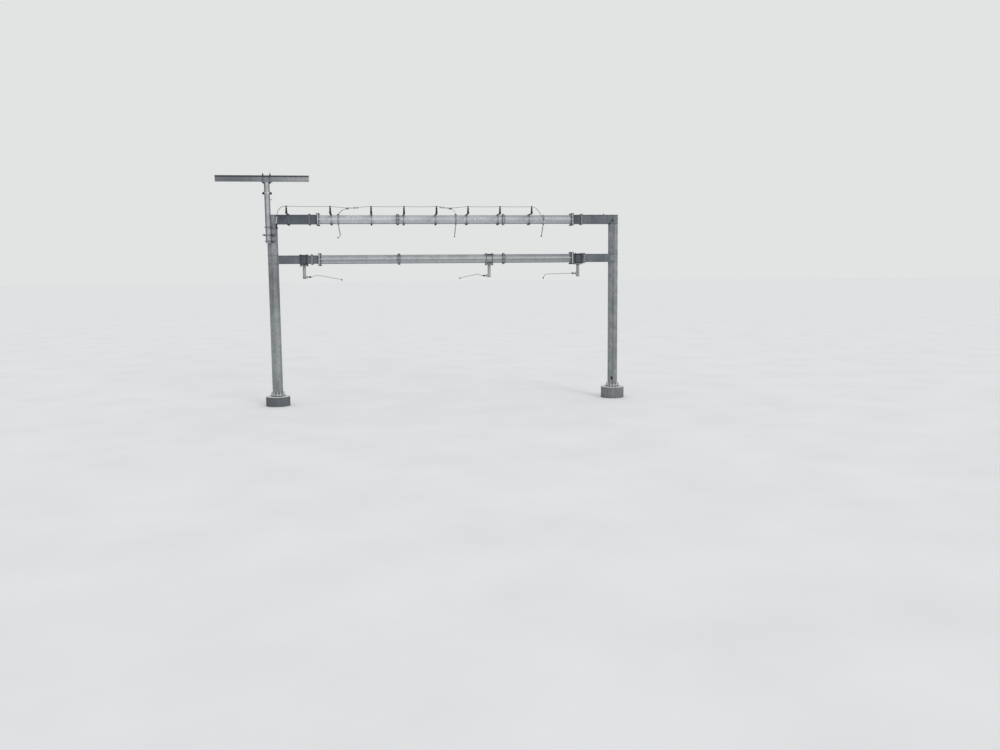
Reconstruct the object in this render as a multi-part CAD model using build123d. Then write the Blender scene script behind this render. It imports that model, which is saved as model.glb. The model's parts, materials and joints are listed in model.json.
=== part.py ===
"""Two-legged railway catenary portal: octagonal columns on round concrete footings, two bolted
crosspieces, drop posts with swinging steady arms, messenger hangers, and a feeder cable on
stand-off insulators.

The origin is the centre of the left footing's underside at ground level. +X runs along the
crosspieces to the right column, +Y along the track and +Z up. Lengths are in millimetres.
"""
import os
from math import radians, tan

from build123d import *

# The portal frame
mast_spacing = 15235
column_flat = 420
column_wall = 8
upper_level = 8175
lower_level = 6435
upper_arm_height = 405
lower_arm_height = 368

# Footings, base plates and anchor bolts
footing_radius = 525
footing_edge = 18
left_footing_height = 430
right_footing_height = 512
levelling_gap = 52
base_plate_radius = 320
base_plate_thickness = 34
anchor_count = 12
anchor_circle_radius = 272
anchor_radius = 15
anchor_above_plate = 105
anchor_nut_flat = 46
anchor_nut_thickness = 24
anchor_hole_clearance = 3

# Hand hole low in the right column, in the facet turned this far from the X axis
hand_hole_width = 78
hand_hole_height = 140
hand_hole_corner = 30
hand_hole_level = 905
front_left_facet = -112.5

# Welded box arms at the columns; what belongs to the right column is measured from it
arm_web_width = 320
arm_web_thickness = 10
arm_plate_thickness = 16
arm_plate_lip = 15
ring_overhang = 14
left_upper_joint = 1971
right_upper_joint = mast_spacing - 1930
left_lower_joint = 1998
right_lower_joint = mast_spacing - 1943

# Octagonal beams and their flanges
beam_flat = 385
beam_wall = 8
flat_up = 22.5
upper_splices = (5436, mast_spacing - 5084)
lower_splices = (5462, mast_spacing - 5085)
flange_height = 550
flange_width = 516
flange_corner = 40
flange_thickness = 28
splice_flat = 500
splice_thickness = 22
drain_hole_radius = 60

# Clamps round the box arms
arm_clamp_length = 70
arm_clamp_bar = 14
arm_clamp_ear = 46
clamp_rod_radius = 11
clamp_rod_clearance = 4
clamp_rod_end = 34
upper_clamp_positions = (1613, mast_spacing - 1498)
lower_clamp_positions = (1669, mast_spacing - 1380)

# Extension post beside the left column. Each clamp holds it with a rod or a hook on each side:
# height above the post's foot, and the sides that have a rod (-1 left, 1 right)
extension_flat = 220
extension_wall = 6
extension_bottom = upper_level - 1025
extension_clamps = ((83, (1,)), (350, (-1, 1)), (680, (1,)))
extension_packer = 16
extension_bar_height = 50
extension_bar_thickness = 12
extension_bar_end = 24
extension_hook_thickness = 10
extension_rod_places = {-1: 144, 1: 226}

# Cross-arm on top of the extension post
crossarm_left = -2290
crossarm_right = 1665
crossarm_bottom = 9772
crossarm_depth = 258
crossarm_width = 146
crossarm_flange = 16
crossarm_web = 9
crossarm_root = 12

# Saddle and clamps that join the cross-arm to the post
saddle_overhang = 122
saddle_width = 250
saddle_thickness = 20
saddle_gusset_height = 105
saddle_gusset_thickness = 12
saddle_gusset_end = 12
saddle_rod_inset = 82
saddle_rod_clearance = 5
saddle_rod_radius = 10
saddle_rod_below = 34
saddle_rod_above = 78
saddle_bar_width = 40
saddle_bar_height = 26
rod_hole_clearance = 1

# Stay band and step peg on the extension post
stay_band_level = crossarm_bottom - 479
stay_band_height = 50
stay_band_thickness = 8
stay_lug_root = 92
stay_lug_tip = 44
stay_lug_length = 78
stay_lug_thickness = 24
stay_eye_radius = 11
step_peg_level = crossarm_bottom - 770
step_peg_length = 78
step_peg_radius = 12
step_peg_head_radius = 20
step_peg_head_length = 14

# Wire anchor on the front of the right column
wire_anchor_level = upper_level - 56
wire_anchor_size = 76
wire_anchor_thickness = 10
wire_anchor_knob_radius = 29
wire_anchor_knob_length = 58

# Drop posts under the lower crosspiece: position, side of the arm, level of the arm's hinge
drop_posts = {
    "left": (1320, 1, lower_level - 760),
    "middle": (9508, -1, lower_level - 763),
    "right": (mast_spacing - 1645, -1, lower_level - 688),
}
drop_post_radius = 70
drop_post_wall = 7
drop_post_bottom = lower_level - 837
drop_foot_radius = 84
drop_foot_thickness = 12
drop_rib_height = 60
drop_rib_thickness = 12
drop_rib_offset = 60
drop_plate_length = 350
drop_plate_width = 476
drop_plate_thickness = 20
drop_rod_x = 140
drop_rod_y = 212
drop_rod_radius = 12
drop_rod_end = 34

# Swivels at the feet of the drop posts
swivel_pin_offset = 106
swivel_pin_radius = 8
swivel_pin_end = 10
swivel_radius = 17
swivel_gap = 56
swivel_plate_thickness = 12
swivel_plate_width = 44
running_clearance = 0.3
pin_clearance = 0.06
uplift_pin_offset = 46
uplift_pin_radius = 6
uplift_pin_end = 6
cheek_gap = 22
cheek_thickness = 8
cheek_height = 30
cheek_end = 17
stop_start = 9.5
stop_height = 4.7

# Steady arms: insulator, tube and wire clip, measured from the uplift pin
eye_radius = 13
eye_side_clearance = 1
tang_height = 20
arm_insulator_start = 26
arm_insulator_end = 136
arm_cap_radius = 25
arm_cap_length = 14
arm_core_radius = 20
arm_shed_radius = 43
arm_shed_count = 3
arm_shed_edge = 5
socket_radius = 21
socket_length = 34
socket_depth = 6
arm_tube_radius = 14
arm_tube_wall = 3
arm_routes = {
    "left": ((205, 0), (311, 71), (463, 70), (1468, -125)),
    "middle": ((205, 0), (305, 70), (400, 70), (1180, -94)),
    "right": ((1360, -26), (1446, -190)),
}
bend_share = 0.45
wire_clip_length = 50
wire_clip_width = 38
wire_clip_above = 26
wire_clip_below = 52
contact_wire_radius = 6.2
contact_wire_drop = 38

# Messenger hangers: strap position, then the messenger's position and level. The insulator hangs
# to an elbow, measured from the pin, and a short rod goes on from there to the messenger
hangers = {
    "left": (2854, 2818, upper_level - 791),
    "middle": (8022, 7962, upper_level - 749),
    "right": (mast_spacing - 3240, mast_spacing - 3330, upper_level - 738),
}
hanger_elbows = {"left": (70, 458), "middle": (-53, 450), "right": (-79, 440)}
strap_length = 40
strap_thickness = 9
hanger_cheek_thickness = 9
hanger_cheek_gap = 40
hanger_cheek_width = 60
hanger_cheek_end = 22
hanger_pin_drop = 38
hanger_pin_radius = 9
hanger_pin_end = 8
hanger_eye_radius = 21
hanger_eye_thickness = 28
hanger_neck_radius = 10
hanger_elbow_radius = 14
hanger_insulator_start = 84
hanger_insulator_end = 34
hanger_cap_radius = 17
hanger_cap_length = 26
hanger_core_radius = 13
hanger_shed_radius = 27
hanger_shed_count = 7
messenger_radius = 10
messenger_clamp_length = 150
messenger_clamp_width = 48
messenger_clamp_height = 54
messenger_clamp_edge = 12

# Stand-off brackets and post insulators that carry the feeder cable
insulator_positions = (710, 2556, 4298, 5712, 7123, 8505, 9914, 11327)
stand_off = 850
bracket_bar_width = 84
bracket_bar_height = 26
bracket_bar_wall = 5
bracket_bar_end = 45
bracket_tie_width = 84
bracket_tie_height = 40
bracket_tie_wall = 5
bracket_rod_offset = 210
bracket_rod_radius = 10
bracket_rod_end = 24
post_base_radius = 46
post_base_height = 84
post_insulator_height = 235
post_core_radius = 22
post_shed_radius = 46
post_shed_count = 5
post_cap_radius = 27
post_cap_height = 30
cable_clamp_length = 64
cable_clamp_width = 50
cable_clamp_height = 44
cable_fit = 0.2

# Feeder cable and its end pieces. The leads go from the left strap's lug to the first insulator and
# from the last insulator to the right lug: share of the way, share of the stand-off, height above
# the crosspiece's axis
cable_radius = 10
cable_sag = 14
clamp_exit = cable_clamp_length / 2 + 13
left_lead = ((0.03, 0.27, 170), (0.12, 0.49, 315), (0.42, 0.84, 450), (0.66, 1.0, 500))
right_lead = ((0.21, 1.0, 478), (0.38, 0.96, 388), (0.65, 0.64, 240), (0.84, 0.38, 90), (0.97, 0.27, 5))
end_strap_points = ((235, upper_level + 87), (212, upper_level - 40), (182, upper_level - 150))
end_strap_width = 46
end_strap_thickness = 8
end_strap_stud = 26
end_lug_width = 40
end_lug_height = 72
end_lug_thickness = 30
right_lug_level = upper_level - 110

# Taps from the feeder to the terminals on two hanger straps, in the same shares and heights: place
# of the clamp from the hanger, and where the cables land on the terminal
taps = {"left": (426, (-20, 30)), "middle": (-291, (0,))}
tapped_sag = 70
tap_radius = 9
tap_drop = 30
tap_spacing = 20
tap_shape = ((0.77, 0.99, 396), (0.49, 0.82, 366), (0.25, 0.5, 300), (0.06, 0.25, 240))
tap_tail = 470
tap_clamp_length = 130
tap_clamp_width = 62
tap_clamp_height = 74
tail_clamp_places = (320, 445)
tail_clamp_length = 34
terminal_length = 96
terminal_width = 70
terminal_height = 36
terminal_offset = 8


def octagon_bar(across_flats, length, turn=0.0):
    """Solid octagonal bar along +Z, with corners on the X and Y axes when it isn't turned."""
    outline = RegularPolygon(across_flats / 2, 8, major_radius=False, rotation=turn)
    return extrude(outline, amount=length)


def octagon_tube(across_flats, wall, length, turn=0.0):
    """Hollow octagonal tube along +Z."""
    return octagon_bar(across_flats, length, turn) - octagon_bar(across_flats - 2 * wall, length, turn)


def along_x(x, z, shape):
    """Lay a shape built along +Z so that it runs along +X from x, at height z."""
    return Pos(x, 0, z) * Rot(0, 90, 0) * shape


def block(x0, x1, y0, y1, z0, z1):
    """Box between two opposite corners."""
    middle = Pos((x0 + x1) / 2, (y0 + y1) / 2, (z0 + z1) / 2)
    return middle * Box(abs(x1 - x0), abs(y1 - y0), abs(z1 - z0))


def rod(start, end, radius):
    """Round bar between two points."""
    axis = Vector(*end) - Vector(*start)
    return extrude(Plane(origin=start, z_dir=axis) * Circle(radius), amount=axis.length)


def swept(points, section, held=0):
    """Section carried along straight runs joined by tangent arcs as large as the runs allow.
    The middle of each run stays straight over the held length."""
    corners = [Vector(*point) for point in points]
    radii = []
    for before, corner, after in zip(corners, corners[1:], corners[2:]):
        run_in = corner - before
        run_out = after - corner
        half_turn = radians(run_in.get_angle(run_out) / 2)
        shorter = min(run_in.length, run_out.length)
        radii.append(min(bend_share * shorter, (shorter - held) / 2) / tan(half_turn))
    path = FilletPolyline(*corners, radius=radii)
    return sweep((path ^ 0) * section, path=path)


def revolved(profile):
    """Solid of revolution about Z from (radius, height) points, closed along the axis."""
    start = (0, profile[0][1])
    finish = (0, profile[-1][1])
    outline = Polyline(start, *profile, finish, close=True)
    return revolve(Plane.XZ * make_face(outline), Axis.Z)


def shed_profile(start, end, core, shed, count):
    """Points of an insulator's side: a stack of cones, each ending in a thin edge."""
    pitch = (end - start) / count
    points = []
    for index in range(count):
        foot = start + index * pitch
        points.append((core, foot))
        points.append((shed, foot + pitch / 4))
        points.append((shed, foot + pitch / 4 + arm_shed_edge))
    points.append((core, end))
    return points


def write(shape, name):
    """Export one sub-part."""
    export_step(shape, f"parts/{name}.step")


def footing(x, y, radius, height):
    """Round concrete footing with a broken top edge."""
    drum = Pos(x, y, height / 2) * Cylinder(radius, height)
    return chamfer(drum.edges().group_by(Axis.Z)[-1], footing_edge)


def base_plate(x, footing_top):
    """Round base plate standing on levelling nuts above the footing."""
    centre = Pos(x, 0, footing_top + levelling_gap + base_plate_thickness / 2)
    hole = Cylinder(anchor_radius + anchor_hole_clearance, base_plate_thickness)
    holes = [centre * spot * hole for spot in PolarLocations(anchor_circle_radius, anchor_count)]
    return centre * Cylinder(base_plate_radius, base_plate_thickness) - holes


def anchor_bolt(footing_top):
    """Stud on the footing with a nut below and a nut above the base plate."""
    plate_bottom = footing_top + levelling_gap
    plate_top = plate_bottom + base_plate_thickness
    stud = rod((0, 0, footing_top), (0, 0, plate_top + anchor_above_plate), anchor_radius)
    nut = extrude(RegularPolygon(anchor_nut_flat / 2, 6, major_radius=False), amount=anchor_nut_thickness)
    return stud + Pos(0, 0, plate_bottom - anchor_nut_thickness) * nut + Pos(0, 0, plate_top) * nut


def anchor_ring(x, footing_top):
    """The ring of anchor bolts of one column."""
    bolt = anchor_bolt(footing_top)
    return [Pos(x, 0, 0) * spot * bolt for spot in PolarLocations(anchor_circle_radius, anchor_count)]


def column_foot(footing_height):
    """Height of the top of a base plate."""
    return footing_height + levelling_gap + base_plate_thickness


def column(x, foot):
    """Octagonal column from its base plate to the upper arm's cap plate."""
    top = upper_level + upper_arm_height / 2 - arm_plate_thickness
    return Pos(x, 0, foot) * octagon_tube(column_flat, column_wall, top - foot)


def hand_hole():
    """Rounded cutter for the hand hole, across the front left facet of the right column."""
    cutter = Box(4 * column_wall, hand_hole_width, hand_hole_height)
    cutter = fillet(cutter.edges().filter_by(Axis.X), hand_hole_corner)
    facet = Rot(0, 0, front_left_facet) * Pos(column_flat / 2, 0, 0)
    return Pos(mast_spacing, 0, hand_hole_level) * facet * cutter


def arm_flange():
    """Rectangular end flange, built along +Z."""
    return extrude(RectangleRounded(flange_height, flange_width, flange_corner), amount=flange_thickness)


def splice_flange():
    """Octagonal flange between two beams, built along +Z."""
    return octagon_bar(splice_flat, splice_thickness, flat_up)


def box_arm(level, height, reach, capped):
    """Arm of the left column: two webs between two plates that widen into rings at the column.
    The top plate of a capped arm closes the column."""
    bottom = level - height / 2
    top = level + height / 2
    flange_start = reach - flange_thickness
    outer = arm_web_width / 2
    inner = outer - arm_web_thickness
    plate_half = outer + arm_plate_lip
    web_bottom = bottom + arm_plate_thickness
    web_top = top - arm_plate_thickness
    webs = block(column_flat / 4, flange_start, inner, outer, web_bottom, web_top)
    webs += block(column_flat / 4, flange_start, -outer, -inner, web_bottom, web_top)
    plate = octagon_bar(column_flat + 2 * ring_overhang, arm_plate_thickness)
    plate += block(0, flange_start, -plate_half, plate_half, 0, arm_plate_thickness)
    bore_height = web_top - bottom if capped else height
    arm = webs + Pos(0, 0, bottom) * plate + Pos(0, 0, web_top) * plate
    arm -= Pos(0, 0, bottom) * octagon_bar(column_flat, bore_height)
    return arm + along_x(flange_start, level, arm_flange())


def right_arm(level, height, reach, capped):
    """Arm of the right column, the mirror image of the left column's."""
    return Pos(mast_spacing, 0, 0) * mirror(box_arm(level, height, reach, capped), Plane.YZ)


def beam(level, start, end, start_flange, end_flange):
    """Octagonal beam with a flange on each end."""
    first = start_flange.bounding_box().size.Z
    last = end_flange.bounding_box().size.Z
    tube = octagon_tube(beam_flat, beam_wall, end - start - first - last, flat_up)
    shape = along_x(start, level, start_flange)
    shape += along_x(start + first, level, tube)
    shape += along_x(end - last, level, end_flange)
    return shape - rod((start, 0, level), (end, 0, level), drain_hole_radius)


def arm_clamp(x, level, arm_height):
    """Front and back bars drawn together round an arm by a rod above and a rod below."""
    half_length = arm_clamp_length / 2
    face = arm_web_width / 2 + arm_plate_lip
    half_height = arm_height / 2 + arm_clamp_ear
    back = face + arm_clamp_bar
    shape = block(x - half_length, x + half_length, face, back, level - half_height, level + half_height)
    shape += mirror(shape, Plane.XZ)
    rod_height = arm_height / 2 + clamp_rod_clearance + clamp_rod_radius
    for z in (level - rod_height, level + rod_height):
        shape += rod((x, -back - clamp_rod_end, z), (x, back + clamp_rod_end, z), clamp_rod_radius)
    return shape


def extension_distance():
    """From the column's axis to the extension post's axis."""
    return column_flat / 2 + extension_packer + extension_flat / 2


def extension_axis():
    """Position of the extension post's axis."""
    return Vector(extension_distance(), 0).rotate(Axis.Z, front_left_facet)


def extension_reach(side, has_rod):
    """From the post's axis to the end of a clamp's bar on one side."""
    if has_rod:
        return side * (extension_rod_places[side] + extension_bar_end)
    return side * (extension_flat / 2 + extension_hook_thickness)


def on_extension_facet(rise, shape):
    """Turn a shape built outwards along +X to the column's front left facet, above the post's foot."""
    return Pos(0, 0, extension_bottom + rise) * Rot(0, 0, front_left_facet) * shape


def extension_clamp(rise, rod_sides):
    """Bar across the front of the extension post, with a rod or a hook back to the packer on each side."""
    packer_face = column_flat / 2 + extension_packer
    back = extension_distance() + extension_flat / 2
    front = back + extension_bar_thickness
    half_height = extension_bar_height / 2
    ends = [extension_reach(side, side in rod_sides) for side in (-1, 1)]
    shape = block(back, front, *ends, -half_height, half_height)
    for side in (-1, 1):
        if side in rod_sides:
            y = side * extension_rod_places[side]
            shape += rod((column_flat / 2 - clamp_rod_end, y, 0), (front + clamp_rod_end, y, 0), clamp_rod_radius)
        else:
            shape += block(packer_face, back, side * extension_flat / 2, extension_reach(side, False),
                           -half_height, half_height)
    return on_extension_facet(rise, shape)


def packer(rise, rod_sides):
    """Plate between the column and the extension post, with holes for the clamp's rods."""
    start = column_flat / 2
    face = start + extension_packer
    half_height = extension_bar_height / 2
    ends = [extension_reach(side, side in rod_sides) for side in (-1, 1)]
    shape = block(start, face, *ends, -half_height, half_height)
    for side in rod_sides:
        y = side * extension_rod_places[side]
        shape -= rod((start, y, 0), (face, y, 0), clamp_rod_radius + rod_hole_clearance)
    return on_extension_facet(rise, shape)


def i_section():
    """Outline of the cross-arm, centred, with rounded roots."""
    outline = Rectangle(crossarm_width, crossarm_depth)
    gap = (crossarm_width - crossarm_web) / 2
    pocket = Rectangle(gap, crossarm_depth - 2 * crossarm_flange)
    shift = (crossarm_web + gap) / 2
    section = outline - Pos(shift, 0) * pocket - Pos(-shift, 0) * pocket
    roots = section.vertices().filter_by(lambda corner: abs(corner.X) < crossarm_web)
    return fillet(roots, crossarm_root)


def saddle(x, y):
    """Plate on top of the post with a gusset on each side, and holes for the clamp rods."""
    half = extension_flat / 2 + saddle_overhang
    bottom = crossarm_bottom - saddle_thickness
    plate = block(-half, half, -saddle_width / 2, saddle_width / 2, bottom, crossarm_bottom)
    for rod_x, rod_y in saddle_rod_spots():
        hole = saddle_rod_radius + rod_hole_clearance
        plate -= rod((rod_x, rod_y, bottom), (rod_x, rod_y, crossarm_bottom), hole)
    tip = half - saddle_gusset_end
    outline = Polyline((0, bottom), (tip, bottom), (extension_flat / 2, bottom - saddle_gusset_height),
                       (0, bottom - saddle_gusset_height), close=True)
    gusset = extrude(Plane.XZ * make_face(outline), amount=saddle_gusset_thickness / 2, both=True)
    gussets = gusset + mirror(gusset, Plane.YZ)
    gussets -= Pos(0, 0, bottom - saddle_gusset_height) * octagon_bar(extension_flat, saddle_gusset_height)
    return Pos(x, y, 0) * (plate + gussets)


def saddle_rod_spots():
    """Places of the four clamp rods round the post."""
    x = extension_flat / 2 + saddle_overhang - saddle_rod_inset
    y = crossarm_width / 2 + saddle_rod_clearance + saddle_rod_radius
    return [(x, y), (x, -y), (-x, y), (-x, -y)]


def crossarm_clamps(x, y):
    """Two bars over the cross-arm, each with two rods down through the saddle."""
    top = crossarm_bottom + crossarm_depth
    low = crossarm_bottom - saddle_thickness - saddle_rod_below
    high = top + saddle_bar_height + saddle_rod_above
    clamps = []
    for side in (-1, 1):
        rods = [spot for spot in saddle_rod_spots() if spot[0] * side > 0]
        rod_x = rods[0][0]
        bar = block(rod_x - saddle_bar_width / 2, rod_x + saddle_bar_width / 2,
                    -saddle_width / 2, saddle_width / 2, top, top + saddle_bar_height)
        for spot in rods:
            bar += rod((*spot, low), (*spot, high), saddle_rod_radius)
        clamps.append(Pos(x, y, 0) * bar)
    return clamps


def stay_band(x, y):
    """Band round the extension post."""
    low = stay_band_level - stay_band_height / 2
    ring = octagon_bar(extension_flat + 2 * stay_band_thickness, stay_band_height)
    return Pos(x, y, low) * (ring - octagon_bar(extension_flat, stay_band_height))


def stay_lug(side):
    """Tapered lug with an eye on one side of the stay band, built round the post's axis."""
    root = stay_lug_root / 2
    tip = stay_lug_tip / 2
    start = extension_flat / 2 + stay_band_thickness
    end = start + stay_lug_length
    outline = Polyline((0, -root), (start, -root), (end, -tip), (end, tip), (start, root), (0, root), close=True)
    eye = Pos(end - tip, 0) * Circle(stay_eye_radius)
    lug = extrude(Plane.XZ * (make_face(outline) - eye), amount=stay_lug_thickness / 2, both=True)
    lug -= Pos(0, 0, -root) * octagon_bar(2 * start, 2 * root)
    return facing(side, lug)


def step_peg(x, y):
    """Headed peg on the right side of the extension post."""
    tip = extension_flat / 2 + step_peg_length
    shape = rod((0, 0, 0), (tip, 0, 0), step_peg_radius)
    shape += rod((tip - step_peg_head_length, 0, 0), (tip, 0, 0), step_peg_head_radius)
    shape -= Pos(0, 0, -step_peg_radius) * octagon_bar(extension_flat, 2 * step_peg_radius)
    return Pos(x, y, step_peg_level) * shape


def wire_anchor():
    """Plate and knob on the front left facet of the right column."""
    start = column_flat / 2
    face = start + wire_anchor_thickness
    half = wire_anchor_size / 2
    shape = block(start, face, -half, half, -half, half)
    shape += rod((face, 0, 0), (face + wire_anchor_knob_length, 0, 0), wire_anchor_knob_radius)
    return Pos(mast_spacing, 0, wire_anchor_level) * Rot(0, 0, front_left_facet) * shape


def lower_half_height(name):
    """Half the height of the lower crosspiece where a drop post hangs."""
    on_beam = left_lower_joint < drop_posts[name][0] < right_lower_joint
    return (beam_flat if on_beam else lower_arm_height) / 2


def drop_rod_spots():
    """Places of the four rods of a drop post's clamp."""
    return [(x, y) for x in (-drop_rod_x, drop_rod_x) for y in (-drop_rod_y, drop_rod_y)]


def drop_plate(bottom):
    """Plate of a drop post's clamp."""
    half_length = drop_plate_length / 2
    half_width = drop_plate_width / 2
    return block(-half_length, half_length, -half_width, half_width, bottom, bottom + drop_plate_thickness)


def drop_flange_bottom(name):
    """Underside of the plate at the head of a drop post."""
    return lower_level - lower_half_height(name) - drop_rib_height - drop_plate_thickness


def drop_clamp(name):
    """Plate on top of the lower crosspiece with four rods down to the drop post's head."""
    top = lower_level + lower_half_height(name)
    shape = drop_plate(top)
    low = drop_flange_bottom(name) - drop_rod_end
    high = top + drop_plate_thickness + drop_rod_end
    for spot in drop_rod_spots():
        shape += rod((*spot, low), (*spot, high), drop_rod_radius)
    return Pos(drop_posts[name][0], 0, 0) * shape


def drop_post(name):
    """Pipe with a ribbed head plate, a closed foot and a bracket that holds the swivel's pin."""
    position, side, hinge_level = drop_posts[name]
    head = drop_flange_bottom(name)
    rib_bottom = head + drop_plate_thickness
    shape = drop_plate(head)
    for spot in drop_rod_spots():
        shape -= rod((*spot, head), (*spot, rib_bottom), drop_rod_radius + rod_hole_clearance)
    half_length = drop_plate_length / 2
    half_rib = drop_rib_thickness / 2
    for y in (-drop_rib_offset, drop_rib_offset):
        shape += block(-half_length, half_length, y - half_rib, y + half_rib, rib_bottom, rib_bottom + drop_rib_height)
    shape += rod((0, 0, drop_post_bottom), (0, 0, head), drop_post_radius)
    foot_top = drop_post_bottom + drop_foot_thickness
    shape += rod((0, 0, drop_post_bottom), (0, 0, foot_top), drop_foot_radius)
    half_width = swivel_plate_width / 2
    half_gap = swivel_gap / 2
    for z in (hinge_level - half_gap - swivel_plate_thickness, hinge_level + half_gap):
        plate = block(0, swivel_pin_offset, -half_width, half_width, z, z + swivel_plate_thickness)
        plate += rod((swivel_pin_offset, 0, z), (swivel_pin_offset, 0, z + swivel_plate_thickness), half_width)
        shape += plate
    shape -= rod((0, 0, foot_top), (0, 0, head), drop_post_radius - drop_post_wall)
    pin_half = half_gap + swivel_plate_thickness + swivel_pin_end
    shape += rod((swivel_pin_offset, 0, hinge_level - pin_half),
                 (swivel_pin_offset, 0, hinge_level + pin_half), swivel_pin_radius)
    return Pos(position, 0, 0) * facing(side, shape)


def facing(side, shape):
    """A shape built towards +X, mirrored when it belongs to an arm on the left."""
    return shape if side > 0 else mirror(shape, Plane.YZ)


def swivel(name):
    """Sleeve on the upright pin with a clevis, its uplift pin, and a stop plate under the arm."""
    position, side, hinge_level = drop_posts[name]
    half = swivel_gap / 2 - running_clearance
    inner = cheek_gap / 2
    outer = inner + cheek_thickness
    reach = uplift_pin_offset + cheek_end
    bottom = -cheek_height / 2
    shape = rod((0, 0, -half), (0, 0, half), swivel_radius)
    shape += block(0, reach, inner, outer, bottom, -bottom)
    shape += block(0, reach, -outer, -inner, bottom, -bottom)
    shape += block(uplift_pin_offset + stop_start, reach, -inner, inner, bottom, bottom + stop_height)
    shape -= rod((0, 0, -half), (0, 0, half), swivel_pin_radius + pin_clearance)
    pin_half = outer + uplift_pin_end
    shape += rod((uplift_pin_offset, -pin_half, 0), (uplift_pin_offset, pin_half, 0), uplift_pin_radius)
    return Pos(position + side * swivel_pin_offset, 0, hinge_level) * facing(side, shape)


def on_uplift_pin(name, shape):
    """Put a shape built from the uplift pin towards +X in its place."""
    position, side, hinge_level = drop_posts[name]
    pin = position + side * (swivel_pin_offset + uplift_pin_offset)
    return Pos(pin, 0, hinge_level) * facing(side, shape)


def arm_insulator(name):
    """Eye on the uplift pin, tang, and shedded insulator between two metal caps."""
    half = cheek_gap / 2 - eye_side_clearance
    eye = rod((0, -half, 0), (0, half, 0), eye_radius)
    eye += block(0, arm_insulator_start, -half, half, -tang_height / 2, tang_height / 2)
    eye -= rod((0, -half, 0), (0, half, 0), uplift_pin_radius + pin_clearance)
    shed_start = arm_insulator_start + arm_cap_length
    shed_end = arm_insulator_end - arm_cap_length
    profile = [(arm_cap_radius, arm_insulator_start), (arm_cap_radius, shed_start)]
    profile += shed_profile(shed_start, shed_end, arm_core_radius, arm_shed_radius, arm_shed_count)
    profile += [(arm_cap_radius, shed_end), (arm_cap_radius, arm_insulator_end)]
    body = Rot(0, 90, 0) * revolved(profile)
    return on_uplift_pin(name, eye + body)


def arm_points(name):
    """Route of a steady arm's tube, from inside its socket to the tip."""
    start = arm_insulator_end + socket_length - socket_depth
    return [(start, 0, 0)] + [(x, 0, z) for x, z in arm_routes[name]]


def steady_arm(name):
    """Socket and bent tube out to the contact wire."""
    tube = swept(arm_points(name), Circle(arm_tube_radius) - Circle(arm_tube_radius - arm_tube_wall))
    socket_end = arm_insulator_end + socket_length
    return on_uplift_pin(name, tube + rod((arm_insulator_end, 0, 0), (socket_end, 0, 0), socket_radius))


def wire_clip(name):
    """Block round the arm's tip, bored along Y for the contact wire."""
    x, z = arm_routes[name][-1]
    half_width = wire_clip_width / 2
    half_length = wire_clip_length / 2
    shape = block(x - half_width, x + half_width, -half_length, half_length,
                  z - wire_clip_below, z + wire_clip_above)
    wire = z - contact_wire_drop
    shape -= rod((x, -half_length, wire), (x, half_length, wire), contact_wire_radius)
    shape -= swept(arm_points(name), Circle(arm_tube_radius))
    return on_uplift_pin(name, shape)


def hanger_pin_level():
    """Height of the pins that carry the messenger hangers."""
    return upper_level - beam_flat / 2 - strap_thickness - hanger_pin_drop


def hanger_strap(name):
    """Strap round the upper beam with two cheeks and a pin below."""
    position = hangers[name][0]
    half = strap_length / 2
    shape = along_x(-half, upper_level, octagon_tube(beam_flat + 2 * strap_thickness, strap_thickness,
                                                     strap_length, flat_up))
    inner = hanger_cheek_gap / 2
    outer = inner + hanger_cheek_thickness
    cheek_top = upper_level - beam_flat / 2 - strap_thickness / 2
    cheek_bottom = hanger_pin_level() - hanger_cheek_end
    for side in (-1, 1):
        shape += block(side * inner, side * outer, -hanger_cheek_width / 2, hanger_cheek_width / 2,
                       cheek_bottom, cheek_top)
    pin_half = outer + hanger_pin_end
    shape += rod((-pin_half, 0, hanger_pin_level()), (pin_half, 0, hanger_pin_level()), hanger_pin_radius)
    return Pos(position, 0, 0) * shape


def hanger_rod(name):
    """Neck and shedded insulator of a hanger down to its elbow, and the rod to the messenger's clamp."""
    position, wire_position, wire_level = hangers[name]
    across, drop = hanger_elbows[name]
    pin = Vector(position, 0, hanger_pin_level())
    elbow = pin + Vector(across, 0, -drop)
    length = (elbow - pin).length
    shed_start = hanger_insulator_start + hanger_cap_length
    cap_end = length - hanger_insulator_end
    shed_end = cap_end - hanger_cap_length
    profile = [(hanger_neck_radius, hanger_eye_radius / 2), (hanger_neck_radius, hanger_insulator_start)]
    profile += [(hanger_cap_radius, hanger_insulator_start), (hanger_cap_radius, shed_start)]
    profile += shed_profile(shed_start, shed_end, hanger_core_radius, hanger_shed_radius, hanger_shed_count)
    profile += [(hanger_cap_radius, shed_end), (hanger_cap_radius, cap_end)]
    profile += [(hanger_neck_radius, cap_end), (hanger_neck_radius, length)]
    lean = Plane(origin=pin, x_dir=(0, 1, 0), z_dir=elbow - pin)
    wire = Vector(wire_position, 0, wire_level)
    tip = wire - (wire - elbow).normalized() * (messenger_radius + messenger_clamp_edge)
    shape = lean * revolved(profile) + rod(elbow, tip, hanger_neck_radius)
    return shape + Pos(elbow.X, elbow.Y, elbow.Z) * Sphere(hanger_elbow_radius)


def hanger(name):
    """Eye on the pin with the hanger's rod and insulator."""
    position = hangers[name][0]
    level = hanger_pin_level()
    half = hanger_eye_thickness / 2
    shape = hanger_rod(name) + rod((position - half, 0, level), (position + half, 0, level), hanger_eye_radius)
    return shape - rod((position - half, 0, level), (position + half, 0, level),
                       hanger_pin_radius + pin_clearance)


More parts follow.
